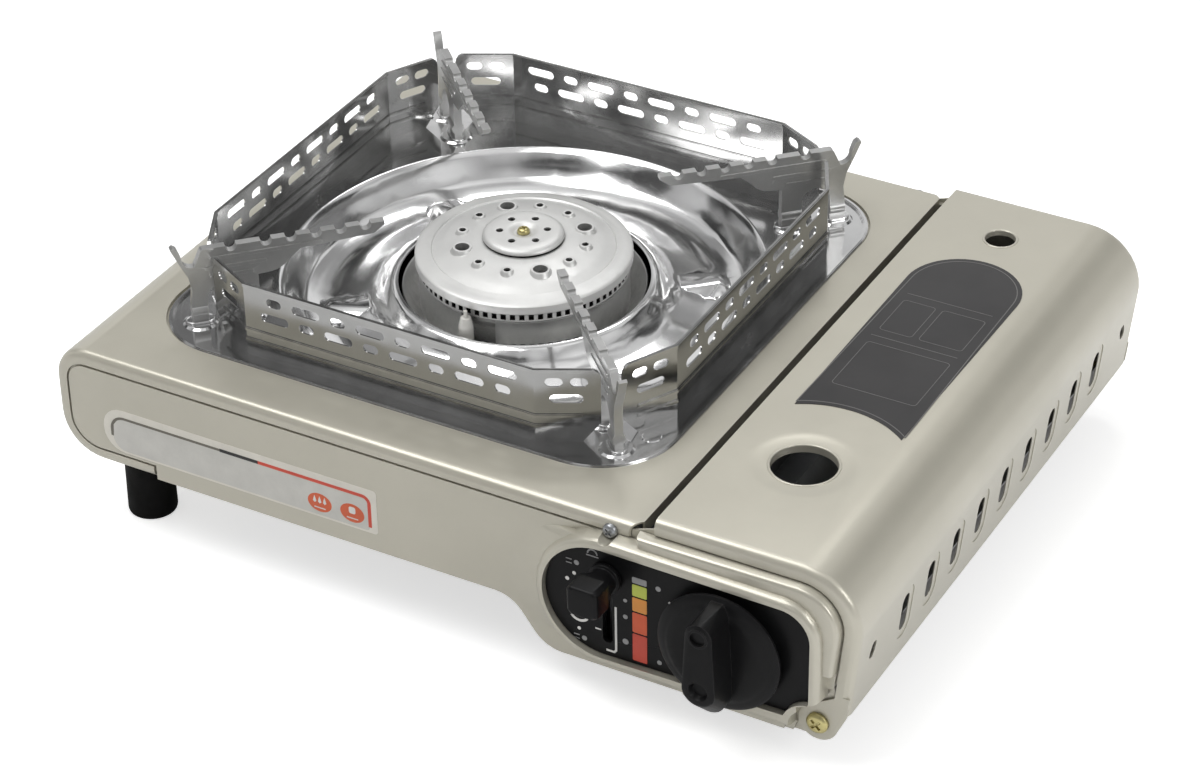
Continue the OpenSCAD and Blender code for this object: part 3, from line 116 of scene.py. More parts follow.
def make_cloudy_colour():
    """Slow and fine changes of a colour, as a paint or plating has."""
    made, t, given, out = group("cloudy_colour", [
        ("Colour", "Color", (0.5, 0.5, 0.5, 1)), ("Other Colour", "Color", (0.4, 0.4, 0.4, 1)),
        ("Patch Size", "Float", 60.0), ("Amount", "Float", 0.5)], [("Colour", "Color")])
    spot = t.place()
    slow = t.noise(spot, t.math("DIVIDE", 1.0, given["Patch Size"]), 2.0)
    fine = t.noise(spot, t.math("DIVIDE", 7.0, given["Patch Size"]), 4.0, 0.65)
    both = t.math("ADD", t.math("MULTIPLY", slow, 0.7), t.math("MULTIPLY", fine, 0.3))
    share = t.math("MULTIPLY", t.span(both, 0.35, 0.65), given["Amount"])
    t.put(t.mix(share, given["Colour"], given["Other Colour"]), out["Colour"])
    return made


def make_grain():
    """A fine grain in the surface, and a slow unevenness of the sheet under it."""
    made, t, given, out = group("grain", [
        ("Grain Size", "Float", 0.4), ("Grain Depth", "Float", 0.02), ("Wave Size", "Float", 40.0),
        ("Wave Depth", "Float", 0.0), ("Stretch", "Vector", (1, 1, 1))], [("Normal", "Vector"), ("Grain", "Float")])
    spot = t.add("ShaderNodeVectorMath", {0: t.place(), 1: given["Stretch"]}, operation="MULTIPLY").outputs[0]
    fine = t.noise(spot, t.math("DIVIDE", 1.0, given["Grain Size"]), 2.0, 0.6)
    slow = t.noise(t.place(), t.math("DIVIDE", 1.0, given["Wave Size"]), 1.5, 0.4)
    grain, wave = t.math("MULTIPLY", fine, given["Grain Depth"]), t.math("MULTIPLY", slow, given["Wave Depth"])
    raised = t.math("ADD", grain, wave)
    bump = t.add("ShaderNodeBump", {"Height": raised, "Distance": 0.001, "Strength": 1.0})
    t.put(bump.outputs[0], out["Normal"])
    t.put(fine, out["Grain"])
    return made


SCRATCH_WAYS = ((0.4, (0.05, 1.1, 0.4)), (1.9, (1.2, 0.05, 0.5)), (2.7, (0.35, 0.06, 1.2)))  # angle, stretch


def make_handling():
    """Roughness of a used surface: smudges, wiped patches and long fine scratches in some places."""
    made, t, given, out = group("handling", [
        ("Smooth", "Float", 0.2), ("Rough", "Float", 0.4), ("Patch Size", "Float", 25.0),
        ("Scratches", "Float", 0.3)], [("Roughness", "Float"), ("Scratch", "Float")])
    spot = t.place()
    patch = t.span(t.noise(spot, t.math("DIVIDE", 1.0, given["Patch Size"]), 5.0, 0.6), 0.36, 0.68)
    lines = 0.0
    for turn, stretch in SCRATCH_WAYS:
        turned = t.add("ShaderNodeVectorRotate", {"Vector": spot, "Angle": turn}, rotation_type="Z_AXIS").outputs[0]
        drawn_out = t.add("ShaderNodeVectorMath", {0: turned, 1: stretch}, operation="MULTIPLY").outputs[0]
        off_line = t.math("ABSOLUTE", t.math("SUBTRACT", t.noise(drawn_out, 0.5, 0.0), 0.56))
        lines = t.math("MAXIMUM", lines, t.span(off_line, 0.012, 0.003))
    where = t.span(t.noise(spot, 0.03, 2.0), 0.48, 0.62)
    scratch = t.math("MULTIPLY", t.math("MULTIPLY", lines, where), given["Scratches"])
    width = t.math("SUBTRACT", given["Rough"], given["Smooth"])
    level = t.math("ADD", given["Smooth"], t.math("MULTIPLY", width, patch))
    t.put(t.math("ADD", level, t.math("MULTIPLY", scratch, 0.25), True), out["Roughness"])
    t.put(scratch, out["Scratch"])
    return made


def make_edge_rub():
    """Where hands and cloths rub an edge: a mask that follows the edges, broken up by noise."""
    made, t, given, out = group("edge_rub", [
        ("Reach", "Float", 0.6), ("Amount", "Float", 0.5), ("Break Up", "Float", 6.0)], [("Rub", "Float")])
    rounded = t.add("ShaderNodeBevel", {"Radius": t.math("MULTIPLY", given["Reach"], 0.001)}, samples=3).outputs[0]
    plain = t.add("ShaderNodeNewGeometry").outputs["Normal"]
    same = t.add("ShaderNodeVectorMath", {0: rounded, 1: plain}, operation="DOT_PRODUCT").outputs["Value"]
    edge = t.span(same, 0.995, 0.86)
    worn = t.span(t.noise(t.place(), t.math("DIVIDE", 1.0, given["Break Up"]), 4.0, 0.7), 0.42, 0.6)
    t.put(t.math("MULTIPLY", t.math("MULTIPLY", edge, worn), given["Amount"]), out["Rub"])
    return made


def make_dust_and_shade():
    """Darkening from an occlusion mask in corners, gaps, under edges and in small holes: partly dirt, partly
    painted shade.
    """
    made, t, given, out = group("dust_and_shade", [
        ("Reach", "Float", 6.0), ("Amount", "Float", 0.4), ("Starts", "Float", 0.9), ("Full", "Float", 0.35),
        ("Even", "Float", 0.0)], [("Dust And Shade", "Float")])
    reach = t.math("MULTIPLY", given["Reach"], 0.001)
    shelter = t.add("ShaderNodeAmbientOcclusion", {"Distance": reach}, samples=4).outputs["AO"]
    patchy = t.math("MAXIMUM", t.span(t.noise(t.place(), 0.25, 4.0, 0.65), 0.3, 0.7), given["Even"])
    corner = t.span(shelter, given["Starts"], given["Full"])
    t.put(t.math("MULTIPLY", t.math("MULTIPLY", corner, patchy), given["Amount"]), out["Dust And Shade"])
    return made


CLOUDY, GRAIN, HANDLING, EDGE_RUB, DUST_AND_SHADE = (
    make_cloudy_colour(), make_grain(), make_handling(), make_edge_rub(), make_dust_and_shade())


# Painted shade: a near-black colour for small holes and deep gaps.
HOLE_SHADE_COLOUR = (0.008, 0.007, 0.006, 1)
RUB_POLISH, GRIME_ROUGHNESS = 0.03, 0.3


def finish(name, colour, other=None, patch=60.0, cloud=0.5, metallic=0.0, smooth=0.3, rough=0.45, smudge=25.0,
           scratches=0.2, grain=0.4, depth=0.02, wave=40.0, wave_depth=0.0, stretch=(1, 1, 1), rub=None,
           rub_amount=0.5, rub_reach=0.6, dust_and_shade=0.0, dust_and_shade_colour=(0.10, 0.09, 0.08), hole_shade=0.0, coat=0.0,
           coat_rough=0.1, specular=0.5):
    """A surface finish from the shared effects, with one Principled shader of its own.

    patch, smudge, grain and wave are sizes in millimetres, depth and wave_depth heights in millimetres.
    """
    material = bpy.data.materials.new(name)
    material.use_nodes = True
    t = Tree(material.node_tree.nodes, material.node_tree.links)
    shader = t.nodes["Principled BSDF"]
    other = other or tuple(0.8 * c for c in colour)

    def use(made, **values):
        node = t.add("ShaderNodeGroup", node_tree=made)
        for label, value in values.items():
            t.put(value, node.inputs[label.replace("_", " ")])
        return node.outputs

    tint = use(CLOUDY, Colour=(*colour, 1), Other_Colour=(*other, 1), Patch_Size=patch, Amount=cloud)["Colour"]
    marks = use(HANDLING, Smooth=smooth, Rough=rough, Patch_Size=smudge, Scratches=scratches)
    relief = use(GRAIN, Grain_Size=grain, Grain_Depth=depth, Wave_Size=wave, Wave_Depth=wave_depth, Stretch=stretch)
    level = marks["Roughness"]
    if rub:
        rubbed = use(EDGE_RUB, Reach=rub_reach, Amount=rub_amount)["Rub"]
        tint = t.mix(rubbed, tint, (*rub, 1))
        level = t.math("SUBTRACT", level, t.math("MULTIPLY", rubbed, RUB_POLISH), True)
    # Dirt and painted shade: an occlusion mask darkens the colour in corners, gaps and under edges, and roughens
    # it.
    if dust_and_shade:
        dust_and_shade_mask = use(DUST_AND_SHADE, Amount=dust_and_shade)["Dust And Shade"]
        tint = t.mix(dust_and_shade_mask, tint, (*dust_and_shade_colour, 1))
        level = t.math("ADD", level, t.math("MULTIPLY", dust_and_shade_mask, GRIME_ROUGHNESS), True)
    # Painted shade: an occlusion mask with no noise turns small holes and deep gaps near black.
    if hole_shade:
        deep = use(DUST_AND_SHADE, Reach=9.0, Amount=hole_shade, Starts=0.56, Full=0.34, Even=1.0)["Dust And Shade"]
        tint = t.mix(deep, tint, HOLE_SHADE_COLOUR)
    t.put(tint, shader.inputs["Base Color"])
    t.put(level, shader.inputs["Roughness"])
    t.put(relief["Normal"], shader.inputs["Normal"])
    shader.inputs["Metallic"].default_value = metallic
    shader.inputs["Coat Weight"].default_value = coat
    shader.inputs["Coat Roughness"].default_value = coat_rough
    shader.inputs["Specular IOR Level"].default_value = specular
    return material


# In each finish below, the occlusion darkening is partly dirt and partly painted shade in corners, gaps and under
# edges.
paint = finish(
    "champagne_paint", (0.575, 0.550, 0.465), (0.500, 0.480, 0.405), patch=90, metallic=0.42, smooth=0.29,
    rough=0.38, smudge=45, scratches=0.06, grain=0.7, depth=0.006, wave=70, wave_depth=0.05, rub=(0.74, 0.72, 0.66),
    rub_amount=0.45, dust_and_shade=0.35, dust_and_shade_colour=(0.16, 0.14, 0.11), coat=0.25, coat_rough=0.22)
# Painted shade: the tray is painted dark so that the inside seen through the lid's slots reads as shade.
tray_shade_paint = finish(
    "tray_shade_paint", (0.115, 0.110, 0.098), (0.090, 0.086, 0.076), patch=80, metallic=0.3, smooth=0.36, rough=0.50,
    smudge=40, scratches=0.15, grain=0.7, depth=0.010, wave=70, wave_depth=0.05, rub=(0.30, 0.29, 0.26),
    dust_and_shade=0.3, dust_and_shade_colour=(0.09, 0.08, 0.07))
chrome = finish(
    "chrome_plate", (0.78, 0.78, 0.78), (0.66, 0.66, 0.665), patch=70, metallic=1.0, smooth=0.09, rough=0.18,
    smudge=30, scratches=0.25, grain=0.6, depth=0.0015, wave=26, wave_depth=0.05, rub=(0.9, 0.9, 0.9),
    rub_amount=0.4, dust_and_shade=0.25, dust_and_shade_colour=(0.12, 0.11, 0.10))
stainless = finish(
    "stainless_sheet", (0.48, 0.48, 0.475), (0.38, 0.38, 0.375), patch=40, metallic=1.0, smooth=0.10, rough=0.22,
    smudge=22, scratches=0.3, grain=0.5, depth=0.003, wave=30, wave_depth=0.04, stretch=(1, 1, 0.15),
    rub=(0.86, 0.86, 0.85), dust_and_shade=0.15)
support_metal = finish(
    "blasted_steel", (0.48, 0.48, 0.475), (0.38, 0.38, 0.375), patch=18, metallic=0.95, smooth=0.30, rough=0.44,
    smudge=12, grain=0.45, depth=0.03, rub=(0.75, 0.75, 0.74), rub_amount=0.8, rub_reach=0.5, dust_and_shade=0.25)
# The burner alloy is painted near black in its ports and gaps, as shade.
burner_alloy = finish(
    "blasted_alloy", (0.72, 0.72, 0.705), (0.62, 0.62, 0.61), patch=25, metallic=0.55, smooth=0.38, rough=0.55,
    smudge=14, scratches=0.12, grain=0.5, depth=0.025, rub=(0.90, 0.90, 0.89), rub_amount=0.6, rub_reach=0.4,
    dust_and_shade=0.35, hole_shade=1.0)
bright_steel = finish(
    "bright_steel", (0.72, 0.72, 0.71), (0.6, 0.6, 0.6), patch=10, cloud=0.4, metallic=1.0, smooth=0.14, rough=0.26,
    smudge=6, scratches=0.4, grain=0.3, depth=0.006, rub=(0.9, 0.9, 0.9), dust_and_shade=0.3)
burner_sheet = finish(
    "burner_sheet", (0.70, 0.70, 0.69), (0.58, 0.58, 0.57), patch=14, cloud=0.6, metallic=1.0, smooth=0.28,
    rough=0.38, smudge=8, scratches=0.3, depth=0.008, rub=(0.85, 0.85, 0.84), dust_and_shade=0.2)
zinc = finish(
    "zinc_plated_steel", (0.38, 0.39, 0.40), (0.30, 0.315, 0.33), patch=16, cloud=0.8, metallic=0.95, smooth=0.28,
    rough=0.42, smudge=14, scratches=0.35, grain=0.8, depth=0.008, wave=50, wave_depth=0.05,
    rub=(0.72, 0.72, 0.72), dust_and_shade=0.4)
cast_metal = finish(
    "die_cast_alloy", (0.42, 0.42, 0.42), (0.34, 0.34, 0.345), patch=14, cloud=0.6, metallic=0.9, smooth=0.38,
    rough=0.55, smudge=10, scratches=0.15, grain=0.9, depth=0.05, rub=(0.66, 0.66, 0.66), dust_and_shade=0.4)
brass = finish(
    "brass", (0.58, 0.52, 0.25), (0.42, 0.36, 0.15), patch=7, cloud=0.7, metallic=1.0, smooth=0.28, rough=0.34,
    smudge=4, scratches=0.4, grain=0.25, depth=0.008, rub=(0.86, 0.75, 0.45), dust_and_shade=0.5)
plastic = finish(
    "black_plastic", (0.0055, 0.0055, 0.006), (0.011, 0.011, 0.0115), patch=30, cloud=0.6, smooth=0.29, rough=0.40,
    smudge=18, scratches=0.12, grain=0.6, depth=0.012, rub=(0.06, 0.06, 0.06), rub_amount=0.6, dust_and_shade=0.2,
    dust_and_shade_colour=(0.02, 0.02, 0.019), specular=0.14)
rubber = finish(
    "black_rubber", (0.003, 0.003, 0.003), (0.007, 0.007, 0.0065), patch=12, cloud=0.7, smooth=0.55, rough=0.75,
    smudge=8, depth=0.05, rub=(0.03, 0.03, 0.03), dust_and_shade=0.4, dust_and_shade_colour=(0.02, 0.019, 0.018), specular=0.12)
ceramic = finish(
    "white_ceramic", (0.80, 0.79, 0.75), (0.68, 0.66, 0.61), patch=6, cloud=0.6, smooth=0.14, rough=0.28, smudge=4,
    scratches=0.1, grain=0.3, depth=0.010, dust_and_shade=0.5, coat=0.4)
sleeve = finish(
    "wire_sleeve", (0.32, 0.30, 0.26), (0.22, 0.21, 0.18), patch=10, cloud=0.6, smooth=0.45, rough=0.6, smudge=6,
    scratches=0.1, grain=0.5, depth=0.04, dust_and_shade=0.4)

FINISH_OF_SLOT = {
    "painted_shell": paint, "plated_steel": zinc, "rubber": rubber, "brass": brass, "black_plastic": plastic,
    "cast_alloy": cast_metal, "wire_sleeve": sleeve, "ceramic": ceramic, "burner_alloy": burner_alloy,
    "bright_steel": bright_steel, "support_steel": support_metal}
# The base tray's dark finish is painted shade behind the lid's slots.
FINISH_OF_NODE = {
    "drip_pan": chrome, "leg_collars": chrome, "windscreen_left": stainless, "windscreen_right": stainless,
    "windscreen_front": stainless, "windscreen_back": stainless, "burner_skirt": burner_sheet,
    "base_tray": tray_shade_paint}

# Radius of the softened edges of each node, in millimetres; the other nodes keep their plain edges
EDGE_RADIUS = {
    "top_cover": 0.35, "front_panel": 0.35, "back_panel": 0.3, "cartridge_lid": 0.3, "fascia": 0.3,
    "control_knob": 0.5, "lever_button": 0.5, "drip_pan": 0.25, "burner_cap": 0.3, "cap_disc": 0.3,
    "port_ring": 0.15, "left_feet": 0.5, "right_feet": 0.5, "support_front_left": 0.35,
    "support_front_right": 0.35, "support_back_left": 0.35, "support_back_right": 0.35, "cover_screws": 0.15,
    "hinge_screws": 0.2, "leg_collars": 0.25, "burner_skirt": 0.2, "cap_screw": 0.12, "electrode": 0.2}


def soften(node, radius):
    """Rounds a node's sharp edges a little, so that they catch the light. The node's own mesh stays as it is."""
    weld = node.modifiers.new("joined_seams", "WELD")
    weld.merge_threshold = 5e-6
    bevel = node.modifiers.new("soft_edges", "BEVEL")
    bevel.width, bevel.segments = radius / 1000, 2
    bevel.limit_method, bevel.angle_limit = "ANGLE", math.radians(38)
    bevel.use_clamp_overlap = True
    bevel.harden_normals = False
    bevel.miter_outer = "MITER_ARC"
    shading = node.modifiers.new("even_shading", "WEIGHTED_NORMAL")
    shading.weight, shading.keep_sharp = 60, False


def dress_cad_nodes():
    """Gives each carried-over node its own finish or that of its material slot, and softens its sharp edges."""
    slot_of = {part["node"]: part["material_slot"] for part in frame["record"]["subparts"]}
    for name, node in NODES.items():
        node.data.materials.clear()
        node.data.materials.append(FINISH_OF_NODE.get(name, FINISH_OF_SLOT[slot_of[name]]))
        if name in EDGE_RADIUS:
            soften(node, EDGE_RADIUS[name])


dress_cad_nodes()


# ---------------------------------------------------------------- outlines, in millimetres

def bow(cu, cv, r, a0, a1, n=12, ry=None):
    """Points of an arc or of part of an oval, angles in degrees."""
    return [(cu + r * math.cos(math.radians(a0 + (a1 - a0) * i / n)),
             cv + (ry or r) * math.sin(math.radians(a0 + (a1 - a0) * i / n))) for i in range(n + 1)]


def oval(cu, cv, ru, rv, n=28):
    return bow(cu, cv, ru, 0, 360, n, rv)[:-1]


def tile(u0, v0, u1, v1, r=0.0, left=None):
    """A rectangle with rounded corners; left is the radius of its two left corners."""
    lr = r if left is None else left
    corners = ((u1 - r, v0 + r, r, -90), (u1 - r, v1 - r, r, 0),
               (u0 + lr, v1 - lr, lr, 90), (u0 + lr, v0 + lr, lr, 180))
    parts = []
    for cu, cv, radius, start in corners:
        parts += bow(cu, cv, radius, start, start + 90, 6) if radius else [(cu, cv)]
    return parts


def stroke(points, width):
    """A line of even width along points, with mitred corners."""
    left, right = [], []
    for i, (u, v) in enumerate(points):
        normals = []
        for a, b in ((i - 1, i), (i, i + 1)):
            if 0 <= a and b < len(points):
                du, dv = points[b][0] - points[a][0], points[b][1] - points[a][1]
                k = math.hypot(du, dv)
                normals.append((-dv / k, du / k))
        nu, nv = (sum(n[j] for n in normals) / len(normals) for j in (0, 1))
        k = (nu * nu + nv * nv) or 1.0
        left.append((u + nu / k * width / 2, v + nv / k * width / 2))
        right.append((u - nu / k * width / 2, v - nv / k * width / 2))
    return left + right[::-1]


# ---------------------------------------------------------------- printed marks and plates

def surface_of(name):
    """A carried-over node's surface, to lay prints and plates on."""
    data = NODES[name].data
    return BVHTree.FromPolygons([v.co.copy() for v in data.vertices], [list(p.vertices) for p in data.polygons])


def add_piece(name, mesh, skins, body):
    """Puts a mesh into the scene as a piece that rides on a body."""
    data = bpy.data.meshes.new(name)
    mesh.to_mesh(data)
    for skin in skins:
        data.materials.append(skin)
    piece = bpy.data.objects.new(name, data)
    bpy.context.scene.collection.objects.link(piece)
    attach(piece, body)


FORWARD, DOWN = Vector((0, 1, 0)), Vector((0, 0, -1))
ROOT = 0.09  # how far a print reaches under its lift, so that it meets the surface


def laid(name, loops, skins, surface, way, body, lift=0.10, thick=0.06):
    """A thin plate or print for each outline, laid on a surface.

    An outline's points are (x, z) for a surface seen from the front, and (x, y) for one seen from the top.
    """
    mesh = bmesh.new()
    for loop, skin in loops:
        hits = []
        ray = FORWARD if way == "front" else DOWN
        for u, v in loop:
            start = at(u, -60, v) if way == "front" else at(u, v, 200)
            hit = surface.ray_cast(start, ray)[0]
            if hit is None:
                raise ValueError(name + " has a point off its surface: %.1f, %.1f" % (u, v))
            hits.append(hit)
        top = [mesh.verts.new(hit - ray * (lift + thick) / 1000) for hit in hits]
        foot = [mesh.verts.new(hit - ray * (lift - ROOT) / 1000) for hit in hits]
        faces = [mesh.faces.new(top)]
        for i in range(len(top)):
            j = (i + 1) % len(top)
            faces.append(mesh.faces.new((top[j], top[i], foot[i], foot[j])))
        for face in faces:
            face.material_index = skin
    bmesh.ops.triangulate(mesh, faces=[f for f in mesh.faces if len(f.verts) > 4])
    bmesh.ops.recalc_face_normals(mesh, faces=mesh.faces)
    add_piece(name, mesh, skins, body)


def rolled_edge(name, u, v, r, surface, wide=1.1, high=0.32, turned=1.4, n=64):
    """The turned-down edge of a round hole: a low round bead on the sheet that runs down into the hole."""
    probes = [at(u + (r + wide) * math.cos(a), v + (r + wide) * math.sin(a), 200) for a in (0.3, 1.9, 3.5, 5.1)]
    level = min(surface.ray_cast(probe, DOWN)[0].z for probe in probes) * 1000
    inner = r - 0.02
    section = [(inner, level - turned)]
    for i in range(9):
        a = math.pi * i / 8
        section.append((inner + wide * (1 - math.cos(a)) / 2, level + high * math.sin(a)))
    section.append((r + wide - 0.1, level - 0.25))
    mesh = bmesh.new()
    turns = [(math.cos(2 * math.pi * i / n), math.sin(2 * math.pi * i / n)) for i in range(n)]
    rings = [[mesh.verts.new(at(u + q * c, v + q * d, z)) for c, d in turns] for q, z in section]
    for a, b in zip(rings, rings[1:] + rings[:1]):
        for i in range(n):
            mesh.faces.new((a[i], a[(i + 1) % n], b[(i + 1) % n], b[i]))
    bmesh.ops.recalc_face_normals(mesh, faces=mesh.faces)
    for face in mesh.faces:
        face.smooth = True
    add_piece(name, mesh, [paint], "lid")


def ink(name, colour, **values):
    """Print on metal or plastic: thin, a little worn and uneven."""
    settings = dict(patch=9, cloud=0.5, smooth=0.32, rough=0.5, smudge=6, scratches=0.35, grain=0.3, depth=0.012)
    settings.update(values)
    return finish(name, colour, tuple(0.82 * c for c in colour), **settings)


def make_sticker(surface, black, red, coral, white):
    """The sticker on the front: cream edge, silver field, a border that changes colour and two ovals."""
    cream = ink("sticker_cream", (0.80, 0.77, 0.69), metallic=0.0)
    silver = ink("sticker_silver", (0.64, 0.63, 0.59), metallic=0.30)
    taupe = ink("print_taupe", (0.16, 0.145, 0.115))
    u0, v0, u1, v1 = 21.9, 41.5, 150.2, 62.0

    def stuck(name, loops, skins, lift, thick=0.02):
        laid(name, loops, skins, surface, "front", "base", lift, thick)

    stuck("sticker", [(tile(u0, v0, u1, v1, 1.6, 9.6), 0)], [cream], 0.1, 0.05)
    stuck("sticker_field", [(tile(u0 + 4.4, v0 + 0.9, u1 - 3.6, v1 - 4.4, 1.6, 6.0), 0)], [silver], 0.16)

    top = v1 - 3.9
    taupe_end, black_end = 78.0, 95.9
    corner = bow(u0 + 10.2, top - 6.2, 6.2, 185, 90, 10)
    right = bow(u1 - 6.6, top - 3.2, 3.2, 90, 0, 8)
    stuck("sticker_border", [
        (stroke([(u0 + 4.0, top - 9.6)] + corner + [(taupe_end, top)], 1.15), 0),
        (stroke([(taupe_end, top), (black_end, top)], 1.5), 1),
        (stroke([(black_end, top)] + right + [(u1 - 3.4, v0 + 2.6)], 1.5), 2)], [taupe, black, red], 0.19)

    left_oval, right_oval = 123.9, 138.8
    stuck("sticker_ovals", [(oval(cu, 48.3, 5.5, 4.3), 0) for cu in (left_oval, right_oval)], [coral], 0.19)
    drop = ((-0.8, 48.6), (0.0, 47.9), (0.8, 48.6), (0.5, 49.8), (0.0, 51.3), (-0.5, 49.8))
    symbols = [([(left_oval + shift + du, v) for du, v in drop], 0) for shift in (-2.3, 0.0, 2.3)]
    symbols.append((tile(137.3, 48.0, 140.3, 51.2, 0.9), 0))
    symbols += [(tile(cu - 2.6, 45.6, cu + 2.6, 46.1, 0.2), 0) for cu in (left_oval, right_oval)]
    stuck("sticker_symbols", symbols, [white], 0.22)


def make_fascia_marks(surface, red, white):
    """The control panel's print: a heat scale of five steps, dots, an arc and lines."""
    grey = ink("print_grey", (0.33, 0.33, 0.33))
    lime = ink("print_lime", (0.55, 0.62, 0.09))
    orange = ink("print_orange", (0.78, 0.31, 0.05))
    vermilion = ink("print_vermilion", (0.74, 0.115, 0.035))

    def printed(name, loops, skins):
        laid(name, loops, skins, surface, "front", "base", 0.1, 0.03)

    borders = (65.1, 61.7, 55.7, 48.7, 38.8, 25.6)
    steps = [(tile(264.3, low + 0.35, 270.4, high - 0.35, 0.5), i)
             for i, (high, low) in enumerate(zip(borders, borders[1:]))]
    printed("heat_scale", steps, [grey, lime, orange, vermilion, red])

    marks = [
        (stroke([(257.2, 48.0), (257.2, 27.6), (256.4, 26.6), (253.0, 26.6)], 0.9), 0),
        (stroke([(248.4, 35.2), (250.9, 35.2)], 0.6), 0),
        (stroke(bow(241.6, 40.5, 4.1, 215, 325, 12), 1.1), 0),
        (oval(241.4, 32.6, 0.75, 0.75, 14), 0),
        (oval(236.7, 54.4, 0.85, 0.85, 14), 0),
        (oval(239.7, 57.8, 0.8, 0.8, 14), 0),
        (stroke([(279.6, 58.3), (282.1, 56.2)], 0.9), 0),
        (stroke(bow(247.6, 69.2, 2.0, 0, 180, 12), 0.6), 1),
        (stroke([(245.0, 68.3), (250.2, 68.3)], 0.5), 1)]
    for cu, cv in ((239.2, 63.0), (242.0, 28.6)):
        marks.append((tile(cu - 2.9, cv - 1.2, cu - 0.5, cv - 0.8), 1))
        marks.append((tile(cu - 2.9, cv + 0.6, cu - 0.5, cv + 1.0), 1))
        marks.append((oval(cu + 1.6, cv, 1.1, 1.1, 14), 1))
    dots = ((261.3, 52.6, 0.8), (261.3, 45.0, 1.0), (261.3, 33.4, 1.3), (275.2, 62.8, 1.1), (275.6, 28.6, 1.0))
    marks += [(oval(cu, cv, r, r, 16), 1) for cu, cv, r in dots]
    printed("fascia_marks", marks, [white, grey])


WINDOW, VENT = (303.5, 58.3), (303.5, 239.8)  # the lid's two round holes


def label_outline(inset):
    """The lid label's outline: a hollow end round the window, straight sides and a round far end."""
    hollow = bow(*WINDOW, 40.0 + inset, 121.5 - 0.6 * inset, 50.5 + 0.6 * inset, 20)
    far = bow(306.0, 196.0, 24.0 - inset, 0, 180, 26)
    return far + hollow


def make_lid_label(surface):
    """The charcoal label on the lid, with plain empty boxes, and the rolled edges of the lid's two holes."""
    charcoal = finish(
        "label_charcoal", (0.018, 0.017, 0.018), (0.030, 0.028, 0.028), patch=34, cloud=0.7, metallic=0.25,
        smooth=0.29, rough=0.40, smudge=22, scratches=0.12, grain=1.2, depth=0.003, dust_and_shade=0.2, coat=0.3)
    pale = ink("label_line", (0.17, 0.165, 0.16), metallic=0.3)
    laid("lid_label", [(label_outline(0.0), 0)], [charcoal], surface, "top", "lid", 0.1, 0.12)

    rim = label_outline(2.0)
    lines = [(stroke(rim + rim[:1], 0.4), 0)]
    lines += [(stroke([(287.5, v), (324.5, v)], 0.3), 0) for v in (184.0, 150.0)]
    for box in ((288.5, 155.0, 302.5, 179.0), (305.5, 155.0, 324.0, 179.0), (288.5, 112.0, 324.0, 145.0)):
        edge = tile(*box, 1.5)
        lines.append((stroke(edge + edge[:1], 0.25), 0))
    laid("lid_label_lines", lines, [pale], surface, "top", "lid", 0.24, 0.02)

    rolled_edge("lid_window_rim", *WINDOW, 12.95, surface)
    rolled_edge("lid_vent_rim", *VENT, 6.35, surface)


def make_prints():
    black = ink("print_black", (0.014, 0.013, 0.013))
    red = ink("print_red", (0.68, 0.075, 0.040))
    coral = ink("print_coral", (0.72, 0.13, 0.045))
    white = ink("print_white", (0.80, 0.79, 0.76))
    make_sticker(surface_of("front_panel"), black, red, coral, white)
    make_fascia_marks(surface_of("fascia"), red, white)
    make_lid_label(surface_of("cartridge_lid"))


make_prints()


# ---------------------------------------------------------------- camera, light and floor

def aim(obj, place, forward, up=(0, 0, 1)):
    """Puts a camera or lamp at a point, looking along forward."""
    f = Vector(forward).normalized()
    r = f.cross(Vector(up)).normalized()
    u = r.cross(f)
    obj.matrix_world = Matrix.Translation(place) @ Matrix((r, u, -f)).transposed().to_4x4()


# The camera fitted to the photograph
CAMERA_PLACE, LENS = (0.5934, -1.04655, 0.8523), 106.7
CAMERA_FORWARD, CAMERA_UP = (-0.4084, 0.7232, -0.5569), (-0.2599, 0.4927, 0.8305)


def make_camera():
    data = bpy.data.cameras.new("camera")
    data.lens, data.sensor_width = LENS, 36.0
    data.clip_start, data.clip_end = 0.05, 60
    camera = bpy.data.objects.new("camera", data)
    bpy.context.scene.collection.objects.link(camera)
    aim(camera, CAMERA_PLACE, CAMERA_FORWARD, CAMERA_UP)
    bpy.context.scene.camera = camera


def soft_box(name, place, target, width, height, power):
    """A rectangular lamp, in watts."""
    data = bpy.data.lights.new(name, "AREA")
    data.shape, data.size, data.size_y, data.energy = "RECTANGLE", width, height, power
    lamp = bpy.data.objects.new(name, data)
    bpy.context.scene.collection.objects.link(lamp)
    aim(lamp, place, Vector(target) - Vector(place))


